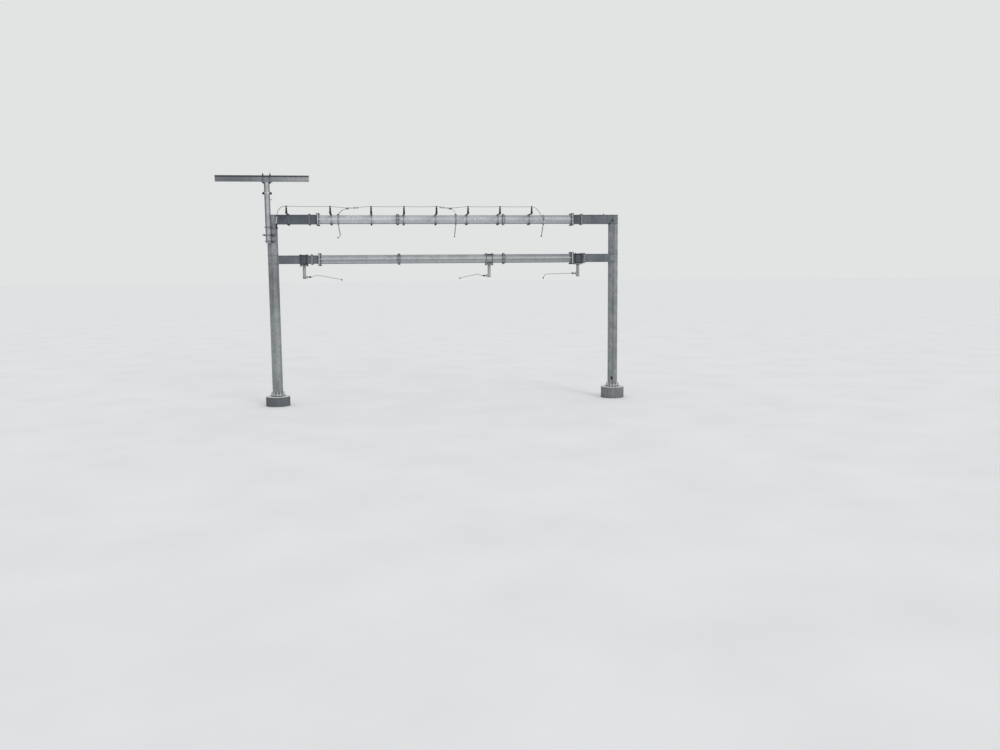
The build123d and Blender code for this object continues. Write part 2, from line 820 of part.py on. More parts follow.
def messenger_clamp(name):
    """Clamp at the foot of a hanger, bored along Y for the messenger wire."""
    wire_position, wire_level = hangers[name][1:]
    half_length = messenger_clamp_length / 2
    shape = Box(messenger_clamp_width, messenger_clamp_length, messenger_clamp_height)
    shape = fillet(shape.edges().filter_by(Axis.Y), messenger_clamp_edge)
    shape = Pos(wire_position, 0, wire_level) * shape
    shape -= rod((wire_position, -half_length, wire_level), (wire_position, half_length, wire_level),
                 messenger_radius)
    return shape - hanger_rod(name)


def upper_half_height(x):
    """Half the height of the upper crosspiece at x."""
    return (upper_arm_height if x < left_upper_joint else beam_flat) / 2


def insulator_bracket(x):
    """Hollow bar over the crosspiece that reaches forward, held by two rods and a tie below."""
    top = upper_level + upper_half_height(x)
    bottom = upper_level - upper_half_height(x)
    half = bracket_bar_width / 2
    wall = bracket_bar_wall
    back = bracket_rod_offset + bracket_rod_radius + bracket_rod_end
    front = -stand_off - bracket_bar_end
    shape = block(-half, half, front, back, top, top + bracket_bar_height)
    shape -= block(wall - half, half - wall, front, back, top + wall, top + bracket_bar_height - wall)
    half = bracket_tie_width / 2
    wall = bracket_tie_wall
    tie = block(-half, half, -back, back, bottom - bracket_tie_height, bottom)
    shape += tie - block(wall - half, half - wall, -back, back, bottom - bracket_tie_height + wall, bottom - wall)
    for y in (-bracket_rod_offset, bracket_rod_offset):
        low = bottom - bracket_tie_height - bracket_rod_end
        high = top + bracket_bar_height + bracket_rod_end
        shape += rod((0, y, low), (0, y, high), bracket_rod_radius)
    return Pos(x, 0, 0) * shape


def cable_level(x):
    """Height of the feeder cable in the insulator at x."""
    seat = upper_level + upper_half_height(x) + bracket_bar_height
    return seat + post_insulator_height + post_cap_height + cable_clamp_height / 2


def feeder_insulator(x):
    """Post insulator with a metal base, a cap and a clamp bored for the cable."""
    seat = upper_level + upper_half_height(x) + bracket_bar_height
    shed_end = post_insulator_height
    cap_end = shed_end + post_cap_height
    profile = [(post_base_radius, 0), (post_base_radius, post_base_height)]
    profile += shed_profile(post_base_height, shed_end, post_core_radius, post_shed_radius, post_shed_count)
    profile += [(post_cap_radius, shed_end), (post_cap_radius, cap_end)]
    body = Pos(x, -stand_off, seat) * revolved(profile)
    level = cable_level(x)
    half = cable_clamp_length / 2
    body += Pos(x, -stand_off, level) * Box(cable_clamp_length, cable_clamp_width, cable_clamp_height)
    return body - rod((x - half, -stand_off, level), (x + half, -stand_off, level), cable_radius + cable_fit)


def lead(start, end, shape):
    """Points of a lead from shares of the way, shares of the stand-off and heights."""
    return [(start + share * (end - start), -reach * stand_off, upper_level + rise) for share, reach, rise in shape]


def strap_front():
    """Front face of the curved strap on the left arm."""
    return -arm_web_width / 2 - end_strap_stud - end_strap_thickness


def right_lug_back():
    """Front face of the right hanger strap, where the cable's other lug sits."""
    return -beam_flat / 2 - strap_thickness


def tap_place(name):
    """Position of a tap's clamp on the feeder."""
    return hangers[name][0] + taps[name][0]


def sag_point(before, after):
    """Lowest point of the feeder between two insulators: deeper, and at the clamp, where a tap hangs."""
    level = (cable_level(before) + cable_level(after)) / 2
    for name in taps:
        if before < tap_place(name) < after:
            return tap_place(name), -stand_off, level - tapped_sag
    return (before + after) / 2, -stand_off, level - cable_sag


def feeder_points():
    """Route of the feeder cable: left lead, straight through each clamp with a sag between, right lead."""
    first = insulator_positions[0]
    last = insulator_positions[-1]
    lug_x, lug_z = end_strap_points[0]
    far_x = hangers["right"][0]
    points = [(lug_x, strap_front() - end_lug_thickness / 2, lug_z)] + lead(lug_x, first, left_lead)
    for before, x in zip((None,) + insulator_positions, insulator_positions):
        if before:
            points.append(sag_point(before, x))
        points.append((x - clamp_exit, -stand_off, cable_level(x)))
        points.append((x + clamp_exit, -stand_off, cable_level(x)))
    points += lead(last, far_x, right_lead)
    return points + [(far_x, right_lug_back() - end_lug_thickness / 2, right_lug_level)]


def end_strap(cable):
    """Curved strap on the front of the left arm, with studs behind and a lug for the cable's end."""
    web = -arm_web_width / 2
    back = web - end_strap_stud
    curve = ThreePointArc(*end_strap_points)
    shape = Pos(0, back, 0) * extrude(Plane.XZ * SlotArc(curve, end_strap_width), amount=end_strap_thickness)
    half = end_strap_stud / 2
    for x, z in (end_strap_points[0], end_strap_points[-1]):
        shape += block(x - half, x + half, back, web, z - half, z + half)
    x, z = end_strap_points[0]
    half = end_lug_width / 2
    shape += block(x - half, x + half, strap_front() - end_lug_thickness, strap_front(),
                   z - end_lug_height / 2, z + end_lug_height / 2)
    return shape - cable


def end_lug(cable):
    """Lug on the front of the right hanger strap for the cable's other end."""
    position = hangers["right"][0]
    back = right_lug_back()
    half = end_lug_width / 2
    return block(position - half, position + half, back - end_lug_thickness, back,
                 right_lug_level - end_lug_height / 2, right_lug_level + end_lug_height / 2) - cable


def terminal_bottom():
    """Top of the hanger straps, where the terminals sit."""
    return upper_level + beam_flat / 2 + strap_thickness


def terminal_front():
    """Front face of the terminals."""
    return -terminal_width - terminal_offset


def terminal(name):
    """Terminal block on top of a hanger strap, long enough for the cables that land on it."""
    position = hangers[name][0]
    bottom = terminal_bottom()
    half_length = terminal_length / 2
    return block(position - half_length, position + half_length, terminal_front(),
                 terminal_front() + terminal_width, bottom, bottom + terminal_height)


def tap_side(name):
    """Side of the hanger on which a tap's clamp sits."""
    return 1 if taps[name][0] > 0 else -1


def feeder_rise(name, distance):
    """How much the feeder has risen at a distance beyond a tap's clamp."""
    clamp = tap_place(name)
    beyond = [abs(x - clamp) for x in insulator_positions if (x - clamp) * tap_side(name) > 0]
    return tapped_sag * distance / (min(beyond) - clamp_exit)


def clamp_level(name):
    """Height of the feeder in a tap's clamp."""
    spans = zip(insulator_positions, insulator_positions[1:])
    return [sag_point(*span)[2] for span in spans if span[0] < tap_place(name) < span[1]][0]


def tap_cables(name):
    """Cables from the feeder to a terminal. The first has a tail that runs back along the feeder."""
    clamp = tap_place(name)
    position = hangers[name][0]
    level = clamp_level(name) - tap_drop
    cables = []
    for index, offset in enumerate(taps[name][1]):
        y = -stand_off + index * tap_spacing
        tail_end = (clamp + tap_side(name) * tap_tail, y, level + feeder_rise(name, tap_tail))
        landing = position + offset
        points = [(clamp, y, level)] + lead(landing, clamp, tap_shape)
        points.append((landing, terminal_front(), terminal_bottom() + terminal_height / 2))
        cables.append(swept([tail_end] + points if index == 0 else points, Circle(tap_radius)))
    return cables


def tap_clamps(name):
    """Clamps that join a tap to the feeder: a long one where it leaves, two short ones on its tail."""
    half_width = tap_clamp_width / 2
    half_height = tap_clamp_height / 2
    clamps = []
    for distance in (0,) + tail_clamp_places:
        length = tail_clamp_length if distance else tap_clamp_length
        x = tap_place(name) + tap_side(name) * distance
        z = clamp_level(name) + feeder_rise(name, distance) - tap_drop / 2
        clamps.append(block(x - length / 2, x + length / 2, -stand_off - half_width, -stand_off + half_width,
                            z - half_height, z + half_height))
    return clamps


os.makedirs("parts", exist_ok=True)

post = extension_axis()

write(footing(0, 0, footing_radius, left_footing_height), "left_footing")
write(footing(mast_spacing, 0, footing_radius, right_footing_height), "right_footing")
write(Compound([base_plate(0, left_footing_height), base_plate(mast_spacing, right_footing_height)]),
      "base_plates")
write(Compound(anchor_ring(0, left_footing_height) + anchor_ring(mast_spacing, right_footing_height)),
      "anchor_bolts")
write(column(0, column_foot(left_footing_height)), "left_column")
write(column(mast_spacing, column_foot(right_footing_height)) - hand_hole(), "right_column")

write(box_arm(upper_level, upper_arm_height, left_upper_joint, True), "left_upper_arm")
write(right_arm(upper_level, upper_arm_height, mast_spacing - right_upper_joint, True), "right_upper_arm")
write(box_arm(lower_level, lower_arm_height, left_lower_joint, False), "left_lower_arm")
write(right_arm(lower_level, lower_arm_height, mast_spacing - right_lower_joint, False), "right_lower_arm")

for label, level, start, splices, end in (
    ("upper", upper_level, left_upper_joint, upper_splices, right_upper_joint),
    ("lower", lower_level, left_lower_joint, lower_splices, right_lower_joint),
):
    write(beam(level, start, splices[0], arm_flange(), splice_flange()), f"{label}_beam_left")
    write(beam(level, splices[0], splices[1], splice_flange(), splice_flange()), f"{label}_beam_middle")
    write(beam(level, splices[1], end, splice_flange(), arm_flange()), f"{label}_beam_right")

clamps = [arm_clamp(x, upper_level, upper_arm_height) for x in upper_clamp_positions]
clamps += [arm_clamp(x, lower_level, lower_arm_height) for x in lower_clamp_positions]
write(Compound(clamps), "arm_clamps")

saddle_bottom = crossarm_bottom - saddle_thickness
extension = octagon_tube(extension_flat, extension_wall, saddle_bottom - extension_bottom)
write(Pos(post.X, post.Y, extension_bottom) * extension, "extension_post")
write(Compound([extension_clamp(*clamp) for clamp in extension_clamps]), "extension_clamps")
write(Compound([packer(*clamp) for clamp in extension_clamps]), "extension_packers")

crossarm = extrude(Plane.YZ * i_section(), amount=crossarm_right - crossarm_left)
write(Pos(crossarm_left, post.Y, crossarm_bottom + crossarm_depth / 2) * crossarm, "crossarm")
write(saddle(post.X, post.Y), "crossarm_saddle")
write(Compound(crossarm_clamps(post.X, post.Y)), "crossarm_clamps")
write(stay_band(post.X, post.Y), "stay_band")
stay_place = Pos(post.X, post.Y, stay_band_level)
write(Compound([stay_place * stay_lug(side) for side in (-1, 1)]), "stay_lugs")
write(step_peg(post.X, post.Y), "step_peg")
write(wire_anchor(), "wire_anchor")

write(Compound([drop_clamp(name) for name in drop_posts]), "drop_clamps")
write(Compound([drop_post(name) for name in drop_posts]), "drop_posts")
for name in drop_posts:
    write(swivel(name), f"{name}_arm_swivel")
    write(arm_insulator(name), f"{name}_arm_insulator")
    write(steady_arm(name), f"{name}_steady_arm")
    write(wire_clip(name), f"{name}_wire_clip")

write(Compound([hanger_strap(name) for name in hangers]), "hanger_straps")
for name in hangers:
    write(hanger(name), f"{name}_hanger")
    write(messenger_clamp(name), f"{name}_messenger_clamp")

write(Compound([insulator_bracket(x) for x in insulator_positions]), "insulator_brackets")
write(Compound([feeder_insulator(x) for x in insulator_positions]), "feeder_insulators")
feeder = swept(feeder_points(), Circle(cable_radius), cable_clamp_length)
write(feeder, "feeder_cable")
write(Compound([end_strap(feeder), end_lug(feeder)]), "feeder_lugs")
tap_parts = {name: tap_cables(name) for name in taps}
write(Compound([cable for cables in tap_parts.values() for cable in cables]), "feeder_taps")
fittings = []
for name in taps:
    for fitting in tap_clamps(name) + [terminal(name)]:
        fittings.append(fitting - feeder - tap_parts[name])
write(Compound(fittings), "tap_fittings")
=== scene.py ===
"""Dresses the catenary portal: weathered materials, bolts, nuts, washers and weld beads,
with the camera at the photograph's viewing angle. Lengths are in metres, in the part's frame."""
import json
from math import cos, pi, radians, sin

import bpy
from mathutils import Matrix, Vector


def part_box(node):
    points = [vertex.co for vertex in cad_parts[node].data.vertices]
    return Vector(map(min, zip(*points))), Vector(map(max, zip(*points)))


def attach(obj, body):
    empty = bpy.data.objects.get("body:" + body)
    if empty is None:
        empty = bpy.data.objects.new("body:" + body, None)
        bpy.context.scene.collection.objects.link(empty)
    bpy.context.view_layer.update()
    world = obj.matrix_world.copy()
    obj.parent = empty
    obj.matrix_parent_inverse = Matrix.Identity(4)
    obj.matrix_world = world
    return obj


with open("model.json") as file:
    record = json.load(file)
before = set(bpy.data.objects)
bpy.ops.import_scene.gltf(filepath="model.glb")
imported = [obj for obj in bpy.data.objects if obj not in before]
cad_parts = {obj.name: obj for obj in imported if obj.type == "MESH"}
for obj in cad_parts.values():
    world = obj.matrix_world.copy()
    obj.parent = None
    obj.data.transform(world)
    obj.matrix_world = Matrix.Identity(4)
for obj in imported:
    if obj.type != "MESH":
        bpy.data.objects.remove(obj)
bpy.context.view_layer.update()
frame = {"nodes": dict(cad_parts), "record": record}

PORTAL = "portal"

# Camera, solved from the rails and the portal's own straight lines
CAMERA_POSITION = (4.6645, -40.879, 5.65)
CAMERA_YAW = radians(7.385)
CAMERA_PITCH = radians(6.243)
CAMERA_ROLL = 0.0086
CAMERA_FOCAL_PIXELS = 905
CAMERA_NEAR = 0.1
CAMERA_FAR = 3000
PHOTO_WIDTH = 1000
SENSOR = 36

# Dimensions shared with the solids
SPACING = 15.235
UPPER = 8.175
LOWER = 6.435
UPPER_ARM_HEIGHT = 0.405
LOWER_ARM_HEIGHT = 0.368
ARM_PLATE_HALF = 0.175
COLUMN_FLAT = 0.420
BEAM_FLAT = 0.385
FLANGE = 0.028
SPLICE = 0.022
FLANGE_HALF_WIDTH = 0.228
FLANGE_ROWS = (-0.245, -0.082, 0.082, 0.245)
SPLICE_BOLT_RADIUS = 0.222
SPLICE_BOLTS = 8
FACET = radians(-112.5)
RIGHT_FACET = radians(-22.5)
FOOTINGS = ((0.0, 0.430), (SPACING, 0.512))
PLATE_GAP = 0.052
PLATE = 0.034
ANCHOR_CIRCLE = 0.272
ANCHOR_BOLTS = 12
POST_XY = (-0.128582, -0.310424)
CROSSARM_BOTTOM = 9.772
CROSSARM_TOP = 10.030
SADDLE_RODS = (0.150, 0.088)
UPPER_JOINTS = (1.971, 13.305)
LOWER_JOINTS = (1.998, 13.292)
UPPER_SPLICES = (5.436, 10.151)
LOWER_SPLICES = (5.462, 10.150)
CROSSPIECES = (("upper", UPPER, UPPER_JOINTS, UPPER_SPLICES), ("lower", LOWER, LOWER_JOINTS, LOWER_SPLICES))
ARM_CLAMPS = ((UPPER, UPPER_ARM_HEIGHT, (1.613, 13.737)), (LOWER, LOWER_ARM_HEIGHT, (1.669, 13.855)))
DROP_POSTS = {"left": (1.320, 1, 5.675), "middle": (9.508, -1, 5.672), "right": (13.590, -1, 5.747)}
LEFT_POST = DROP_POSTS["left"][0]
MIDDLE_POST = DROP_POSTS["middle"][0]
HANGER_FEET = {"left": (7.334, 7.537), "middle": (7.376, 7.545), "right": (7.387, 7.5545)}
INSULATORS = (0.710, 2.556, 4.298, 5.712, 7.123, 8.505, 9.914, 11.327)
STAND_OFF = -0.850
BRACKET_BAR = 0.026
BRACKET_TIE = 0.040
SWIVEL_PIN = 0.106
UPLIFT_PIN = 0.046
PIN_LEVEL = 7.9355

# Metal ends of the insulators: from a post insulator's seat, a steady arm's pin and a hanger's pin
POST_FOOT = (-0.010, 0.084)
POST_CAP = (0.235, 0.335)
ARM_CAPS = ((-0.030, 0.040), (0.122, 0.150))
HANGER_CAP = (-0.110, 0.050)

# Shares of a thread's diameter
ACROSS_FLATS = 1.52
NUT_HEIGHT = 0.8
HEAD_HEIGHT = 0.62
WASHER_RADIUS = 0.95
WASHER_THICKNESS = 0.14

# Shares of a thread's radius
THREAD_START = 0.92
THREAD_ROOT = 0.93
THREAD_TIP = 0.85

# Shares of a nut's width, of half its width, of its bevel and of a washer's thickness
NUT_BEVEL = 0.07
NUT_FOOT = 0.97
NUT_CROWN = 0.96
FOOT_BEVEL = 0.6
WASHER_EDGE = 0.25

# Round, threaded and welded shapes
ROUND_SIDES = 24
NUT_SIDES = 6
THREAD_SIDES = 12
THREAD_PITCH = 0.0035
THREAD_STEP = 0.0001
THREAD_END = 0.018
BEAD_SIDES = 6
BEAD_STEP = 0.006
BEAD_RIPPLE = 0.10
BEAD_WOBBLE = 0.07
WOBBLE_TURN = 1.7
SHARP_ANGLE = 35
UPRIGHT = 0.9
UP = (0, 0, 1)
DOWN = (0, 0, -1)
SQUARE = ((-1, -1), (1, -1), (1, 1), (-1, 1))


class Mesh:
    """Collects faces of one piece, then makes it an object."""

    def __init__(self):
        self.points = []
        self.faces = []

    def rings(self, rings, capped=True):
        """Faces between closed rings of equal point count."""
        base = len(self.points)
        count = len(rings[0])
        for ring in rings:
            self.points += [tuple(point) for point in ring]
        for row in range(len(rings) - 1):
            for index in range(count):
                here = base + row * count + index
                beside = base + row * count + (index + 1) % count
                self.faces.append((here, beside, beside + count, here + count))
        if capped:
            last = base + (len(rings) - 1) * count
            self.faces.append(tuple(base + index for index in reversed(range(count))))
            self.faces.append(tuple(last + index for index in range(count)))

    def lathe(self, origin, axis, profile, sides, turn=0.0):
        """Regular polygon rings of (radius, height) along an axis."""
        origin = Vector(origin)
        axis = Vector(axis).normalized()
        across = axis.orthogonal().normalized()
        if abs(axis.z) > UPRIGHT:
            across = Vector((1, 0, 0))
        along = axis.cross(across)
        rings = []
        for radius, height in profile:
            ring = []
            for index in range(sides):
                angle = turn + 2 * pi * index / sides
                ring.append(origin + axis * height + (across * cos(angle) + along * sin(angle)) * radius)
            rings.append(ring)
        self.rings(rings)

    def nut(self, origin, axis, flat, height, turn=0.0):
        """Hexagon nut or head with chamfered corners, standing on origin."""
        corner = flat / 2 / cos(pi / NUT_SIDES)
        bevel = flat * NUT_BEVEL
        foot = flat / 2 * NUT_FOOT
        crown = flat / 2 * NUT_CROWN
        profile = [(foot, 0), (corner, bevel * FOOT_BEVEL), (corner, height - bevel), (crown, height)]
        self.lathe(origin, axis, profile, NUT_SIDES, turn)

    def washer(self, origin, axis, radius, thickness):
        """Flat washer."""
        edge = thickness * WASHER_EDGE
        profile = [(radius - edge, 0), (radius, edge), (radius, thickness - edge), (radius - edge, thickness)]
        self.lathe(origin, axis, profile, ROUND_SIDES)

    def stud(self, origin, axis, radius, length, pitch=THREAD_PITCH):
        """Threaded end: a bar with fine ridges."""
        profile = [(radius * THREAD_START, 0)]
        turns = max(2, int(length / pitch))
        for index in range(turns):
            low = length * index / turns
            profile.append((radius * THREAD_ROOT, low + THREAD_STEP))
            profile.append((radius, low + length / turns / 2))
        profile.append((radius * THREAD_TIP, length))
        self.lathe(origin, axis, profile, THREAD_SIDES)

    def washer_and_nut(self, origin, axis, washer, nut, turn=0.0):
        """Washer (radius, thickness) on a face, with a nut (across flats, height) on it."""
        axis = Vector(axis)
        self.washer(origin, axis, *washer)
        self.nut(Vector(origin) + axis * washer[1], axis, *nut, turn)

    def bolt_end(self, origin, axis, size, turn=0.0):
        """Washer, nut and threaded end on a face; size is the thread's diameter."""
        washer = (size * WASHER_RADIUS, size * WASHER_THICKNESS)
        nut = (size * ACROSS_FLATS, size * NUT_HEIGHT)
        self.washer_and_nut(origin, axis, washer, nut, turn)
        self.stud(Vector(origin) + Vector(axis) * (washer[1] + nut[1]), axis, size / 2, THREAD_END)

    def bolt_head(self, origin, axis, size, turn=0.0):
        """Washer and bolt head on a face."""
        washer = (size * WASHER_RADIUS, size * WASHER_THICKNESS)
        self.washer_and_nut(origin, axis, washer, (size * ACROSS_FLATS, size * HEAD_HEIGHT), turn)

    def bead(self, corners, radius, up=UP):
        """Weld bead with ripples along the straight runs round the corners."""
        corners = [Vector(corner) for corner in corners]
        path = []
        for start, end in zip(corners, corners[1:] + corners[:1]):
            count = max(1, int((end - start).length / BEAD_STEP))
            path += [start.lerp(end, index / count) for index in range(count)]
        up = Vector(up)
        rings = []
        for index, point in enumerate(path):
            heading = (path[(index + 1) % len(path)] - path[index - 1]).normalized()
            side = heading.cross(up).normalized()
            ripple = BEAD_RIPPLE * cos(index * pi / 2) + BEAD_WOBBLE * sin(index * WOBBLE_TURN)
            swell = radius * (1.0 + ripple)
            ring = []
            for corner in range(BEAD_SIDES):
                angle = 2 * pi * corner / BEAD_SIDES
                ring.append(point + (side * cos(angle) + up * sin(angle)) * swell)
            rings.append(ring)
        rings.append(rings[0])
        self.rings(rings, capped=False)

    def finish(self, name, material, body=PORTAL):
        """Make the object, give it its material and let it ride on its body."""
        mesh = bpy.data.meshes.new(name)
        mesh.from_pydata(self.points, [], self.faces)
        mesh.validate()
        mesh.polygons.foreach_set("use_smooth", [True] * len(mesh.polygons))
        mesh.set_sharp_from_angle(angle=radians(SHARP_ANGLE))
        mesh.materials.append(material)
        obj = bpy.data.objects.new(name, mesh)
        bpy.context.scene.collection.objects.link(obj)
        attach(obj, body)
        return obj


# Colour sockets of a mix
MIX_INPUTS = (6, 7)
MIX_RESULT = 2


class Nodes:
    """Short names for building a shader's node tree."""

    def __init__(self, name):
        self.material = bpy.data.materials.new(name)
        self.material.use_nodes = True
        self.tree = self.material.node_tree
        self.tree.nodes.clear()
        self.output = self.tree.nodes.new("ShaderNodeOutputMaterial")
        self.shader = self.tree.nodes.new("ShaderNodeBsdfPrincipled")
        self.tree.links.new(self.shader.outputs[0], self.output.inputs[0])
        self.place = self.tree.nodes.new("ShaderNodeTexCoord").outputs["Object"]
        self.normal = self.tree.nodes.new("ShaderNodeNewGeometry").outputs["Normal"]

    def link(self, source, target):
        self.tree.links.new(source, target)

    def scaled(self, scale):
        """The object's coordinates, stretched."""
        node = self.tree.nodes.new("ShaderNodeMapping")
        node.inputs["Scale"].default_value = scale
        self.link(self.place, node.inputs["Vector"])
        return node.outputs[0]

    def noise(self, scale, detail, rough, stretch=(1, 1, 1)):
        node = self.tree.nodes.new("ShaderNodeTexNoise")
        node.inputs["Scale"].default_value = scale
        node.inputs["Detail"].default_value = detail
        node.inputs["Roughness"].default_value = rough
        self.link(self.scaled(stretch), node.inputs["Vector"])
        return node.outputs["Fac"]

    def cells(self, scale, output="Distance"):
        node = self.tree.nodes.new("ShaderNodeTexVoronoi")
        node.inputs["Scale"].default_value = scale
        self.link(self.place, node.inputs["Vector"])
        return node.outputs[output]

    def ramp(self, value, low, high, start=0.0, end=1.0):
        """Map value from low..high to start..end, clamped."""
        node = self.tree.nodes.new("ShaderNodeMapRange")
        node.inputs["From Min"].default_value = low
        node.inputs["From Max"].default_value = high
        node.inputs["To Min"].default_value = start
        node.inputs["To Max"].default_value = end
        self.link(value, node.inputs["Value"])
        return node.outputs[0]

    def math(self, operation, *values):
        node = self.tree.nodes.new("ShaderNodeMath")
        node.operation = operation
        for socket, value in zip(node.inputs, values):
            if isinstance(value, (int, float)):
                socket.default_value = value
            else:
                self.link(value, socket)
        return node.outputs[0]

    def axis(self, name, source=None):
        """One component of the place or the normal."""
        node = self.tree.nodes.new("ShaderNodeSeparateXYZ")
        self.link(source or self.place, node.inputs[0])
        return node.outputs[name]

    def mix(self, factor, first, second):
        """Mix two colours; each is a tuple or a socket."""
        node = self.tree.nodes.new("ShaderNodeMix")
        node.data_type = "RGBA"
        self.link(factor, node.inputs["Factor"])
        for index, value in zip(MIX_INPUTS, (first, second)):
            if isinstance(value, tuple):
                node.inputs[index].default_value = (*value, 1)
            else:
                self.link(value, node.inputs[index])
        return node.outputs[MIX_RESULT]

    def bump(self, height, distance, strength, under=None):
        node = self.tree.nodes.new("ShaderNodeBump")
        node.inputs["Distance"].default_value = distance
        node.inputs["Strength"].default_value = strength
        self.link(height, node.inputs["Height"])
        if under:
            self.link(under, node.inputs["Normal"])
        return node.outputs[0]

    def done(self, colour, roughness, metallic, bump=None):
        self.link(colour, self.shader.inputs["Base Color"])
        self.link(roughness, self.shader.inputs["Roughness"])
        self.shader.inputs["Metallic"].default_value = metallic
        if bump:
            self.link(bump, self.shader.inputs["Normal"])
        return self.material


# Steel in three tones: plain, pale patches, and dark for runs and for painted shade under downward faces
COLUMN_TONES = ((0.165, 0.180, 0.190), (0.260, 0.275, 0.285), (0.072, 0.079, 0.086))
ARM_TONES = ((0.080, 0.094, 0.107), (0.120, 0.136, 0.150), (0.038, 0.045, 0.053))
DARK_ARM_TONES = ((0.060, 0.072, 0.088), (0.090, 0.104, 0.122), (0.032, 0.038, 0.047))
BEAM_TONES = ((0.39, 0.41, 0.425), (0.50, 0.52, 0.535), (0.19, 0.205, 0.22))
LOWER_BEAM_TONES = ((0.27, 0.288, 0.30), (0.37, 0.388, 0.40), (0.13, 0.142, 0.152))
CLAMP_TONES = ((0.45, 0.47, 0.48), (0.58, 0.60, 0.61), (0.22, 0.23, 0.24))
IRON_TONES = ((0.017, 0.021, 0.024), (0.034, 0.041, 0.046), (0.009, 0.010, 0.012))
FITTING_TONES = ((0.14, 0.152, 0.165), (0.23, 0.245, 0.258), (0.06, 0.064, 0.07))
CROSSARM_TONES = ((0.125, 0.14, 0.153), (0.185, 0.20, 0.214), (0.062, 0.07, 0.078))
EXTENSION_TONES = ((0.30, 0.315, 0.325), (0.40, 0.415, 0.425), (0.16, 0.17, 0.18))
STEADY_ARM_TONES = ((0.30, 0.315, 0.33), (0.42, 0.435, 0.45), (0.14, 0.15, 0.16))
ARM_CLAMP_TONES = ((0.15, 0.16, 0.167), (0.25, 0.262, 0.27), (0.07, 0.075, 0.08))
EXTENSION_CLAMP_TONES = ((0.40, 0.415, 0.425), (0.52, 0.535, 0.545), (0.20, 0.21, 0.22))
DROP_POST_TONES = ((0.22, 0.23, 0.237), (0.31, 0.32, 0.327), (0.11, 0.115, 0.12))
TAP_FITTING_TONES = ((0.10, 0.106, 0.112), (0.16, 0.168, 0.175), (0.05, 0.053, 0.056))

# Tones laid over the steel
GRIME_AND_SHADE = (0.026, 0.029, 0.034)
SOOT = (0.045, 0.048, 0.052)
RUST = (0.19, 0.075, 0.028)
PLAIN_ZINC = (0.18, 0.195, 0.205)
FLANGE_ZINC = (0.40, 0.415, 0.425)
CROSSARM_ZINC = (0.35, 0.365, 0.375)
PALER_ZINC = (0.30, 0.315, 0.32)
PAINTED_LIGHT_ZINC = (0.30, 0.315, 0.325)
TIE_ZINC = (0.26, 0.27, 0.28)
DROP_CLAMP_ZINC = (0.22, 0.23, 0.238)
DULL_CLAMP = (0.10, 0.11, 0.12)
RIGHT_CLAMP = (0.12, 0.128, 0.136)
MIDDLE_PIPE = (0.37, 0.36, 0.355)
LEFT_PIPE = (0.33, 0.33, 0.315)

# Concrete: sides, pits, drips, dark left footing, pale top, shade below the plate, damp foot, rust water
CONCRETE = ((0.135, 0.153, 0.170), (0.215, 0.235, 0.248))
CONCRETE_PITS = (0.085, 0.094, 0.102)
CONCRETE_DRIPS = (0.065, 0.071, 0.077)
LEFT_CONCRETE = (0.056, 0.067, 0.073)
PALE_TOP_CONCRETE = ((0.76, 0.76, 0.73), (0.56, 0.56, 0.54))
PLATE_SHADE = (0.045, 0.048, 0.050)
PLATE_SHADE_SQUARES = (0.125, 0.105)
DAMP_CONCRETE = (0.10, 0.105, 0.10)
RUST_WATER = (0.19, 0.105, 0.062)
RUST_STREAKS = ((SPACING + 0.02, 0.075, 0.60), (SPACING - 0.26, 0.030, 0.30), (0.12, 0.030, 0.25))

# Insulators: glaze, dust, metal ends (worn, fresh) and silicone
GLAZE = ((0.008, 0.007, 0.007), (0.020, 0.016, 0.015))
GLAZE_DUST = (0.30, 0.30, 0.29)
GLAZE_SPECULAR = 0.22
BLACK_FOOT = ((0.014, 0.014, 0.015), (0.028, 0.029, 0.031))
GREY_CAP = ((0.030, 0.031, 0.033), (0.065, 0.068, 0.072))
HANGER_METAL = ((0.12, 0.125, 0.13), (0.055, 0.055, 0.058))
SILICONE = ((0.17, 0.18, 0.19), (0.26, 0.27, 0.28))
SILICONE_DUST = (0.42, 0.42, 0.41)
SILICONE_SHADE = (0.08, 0.085, 0.09)
BAND_EDGE = 0.0005

# Conductors: plain and pale tones, and where soot begins and is full on the feeder
FEEDER_TONES = ((0.24, 0.245, 0.25), (0.36, 0.365, 0.37))
FEEDER_SOOT = ((11.33, 11.58), (0.70, 0.60))
TAP_TONES = ((0.38, 0.385, 0.39), (0.52, 0.525, 0.53))
STRANDS_PER_METRE = 28.0
STRAND_UNEVENNESS = 0.6

# Noise: features per metre, detail, roughness
MOTTLE = (9.0, 8, 0.7)
TINT_NOISE = (5.0, 5, 0.65)
RAIN_RUNS = (14.0, 5, 0.6)
PALE_RUNS = (22.0, 4, 0.6)
RUST_SPECKS = (38.0, 8, 0.75)
RUST_AREAS = (2.3, 4, 0.6)
PITTING = (130.0, 5, 0.65)
DENTS = (6.0, 3, 0.5)
METAL_WEAR = (40.0, 7, 0.7)
GLAZE_PITS = (90.0, 4, 0.6)
SPANGLE_SCALE = 55.0
PORE_SCALE = 95.0


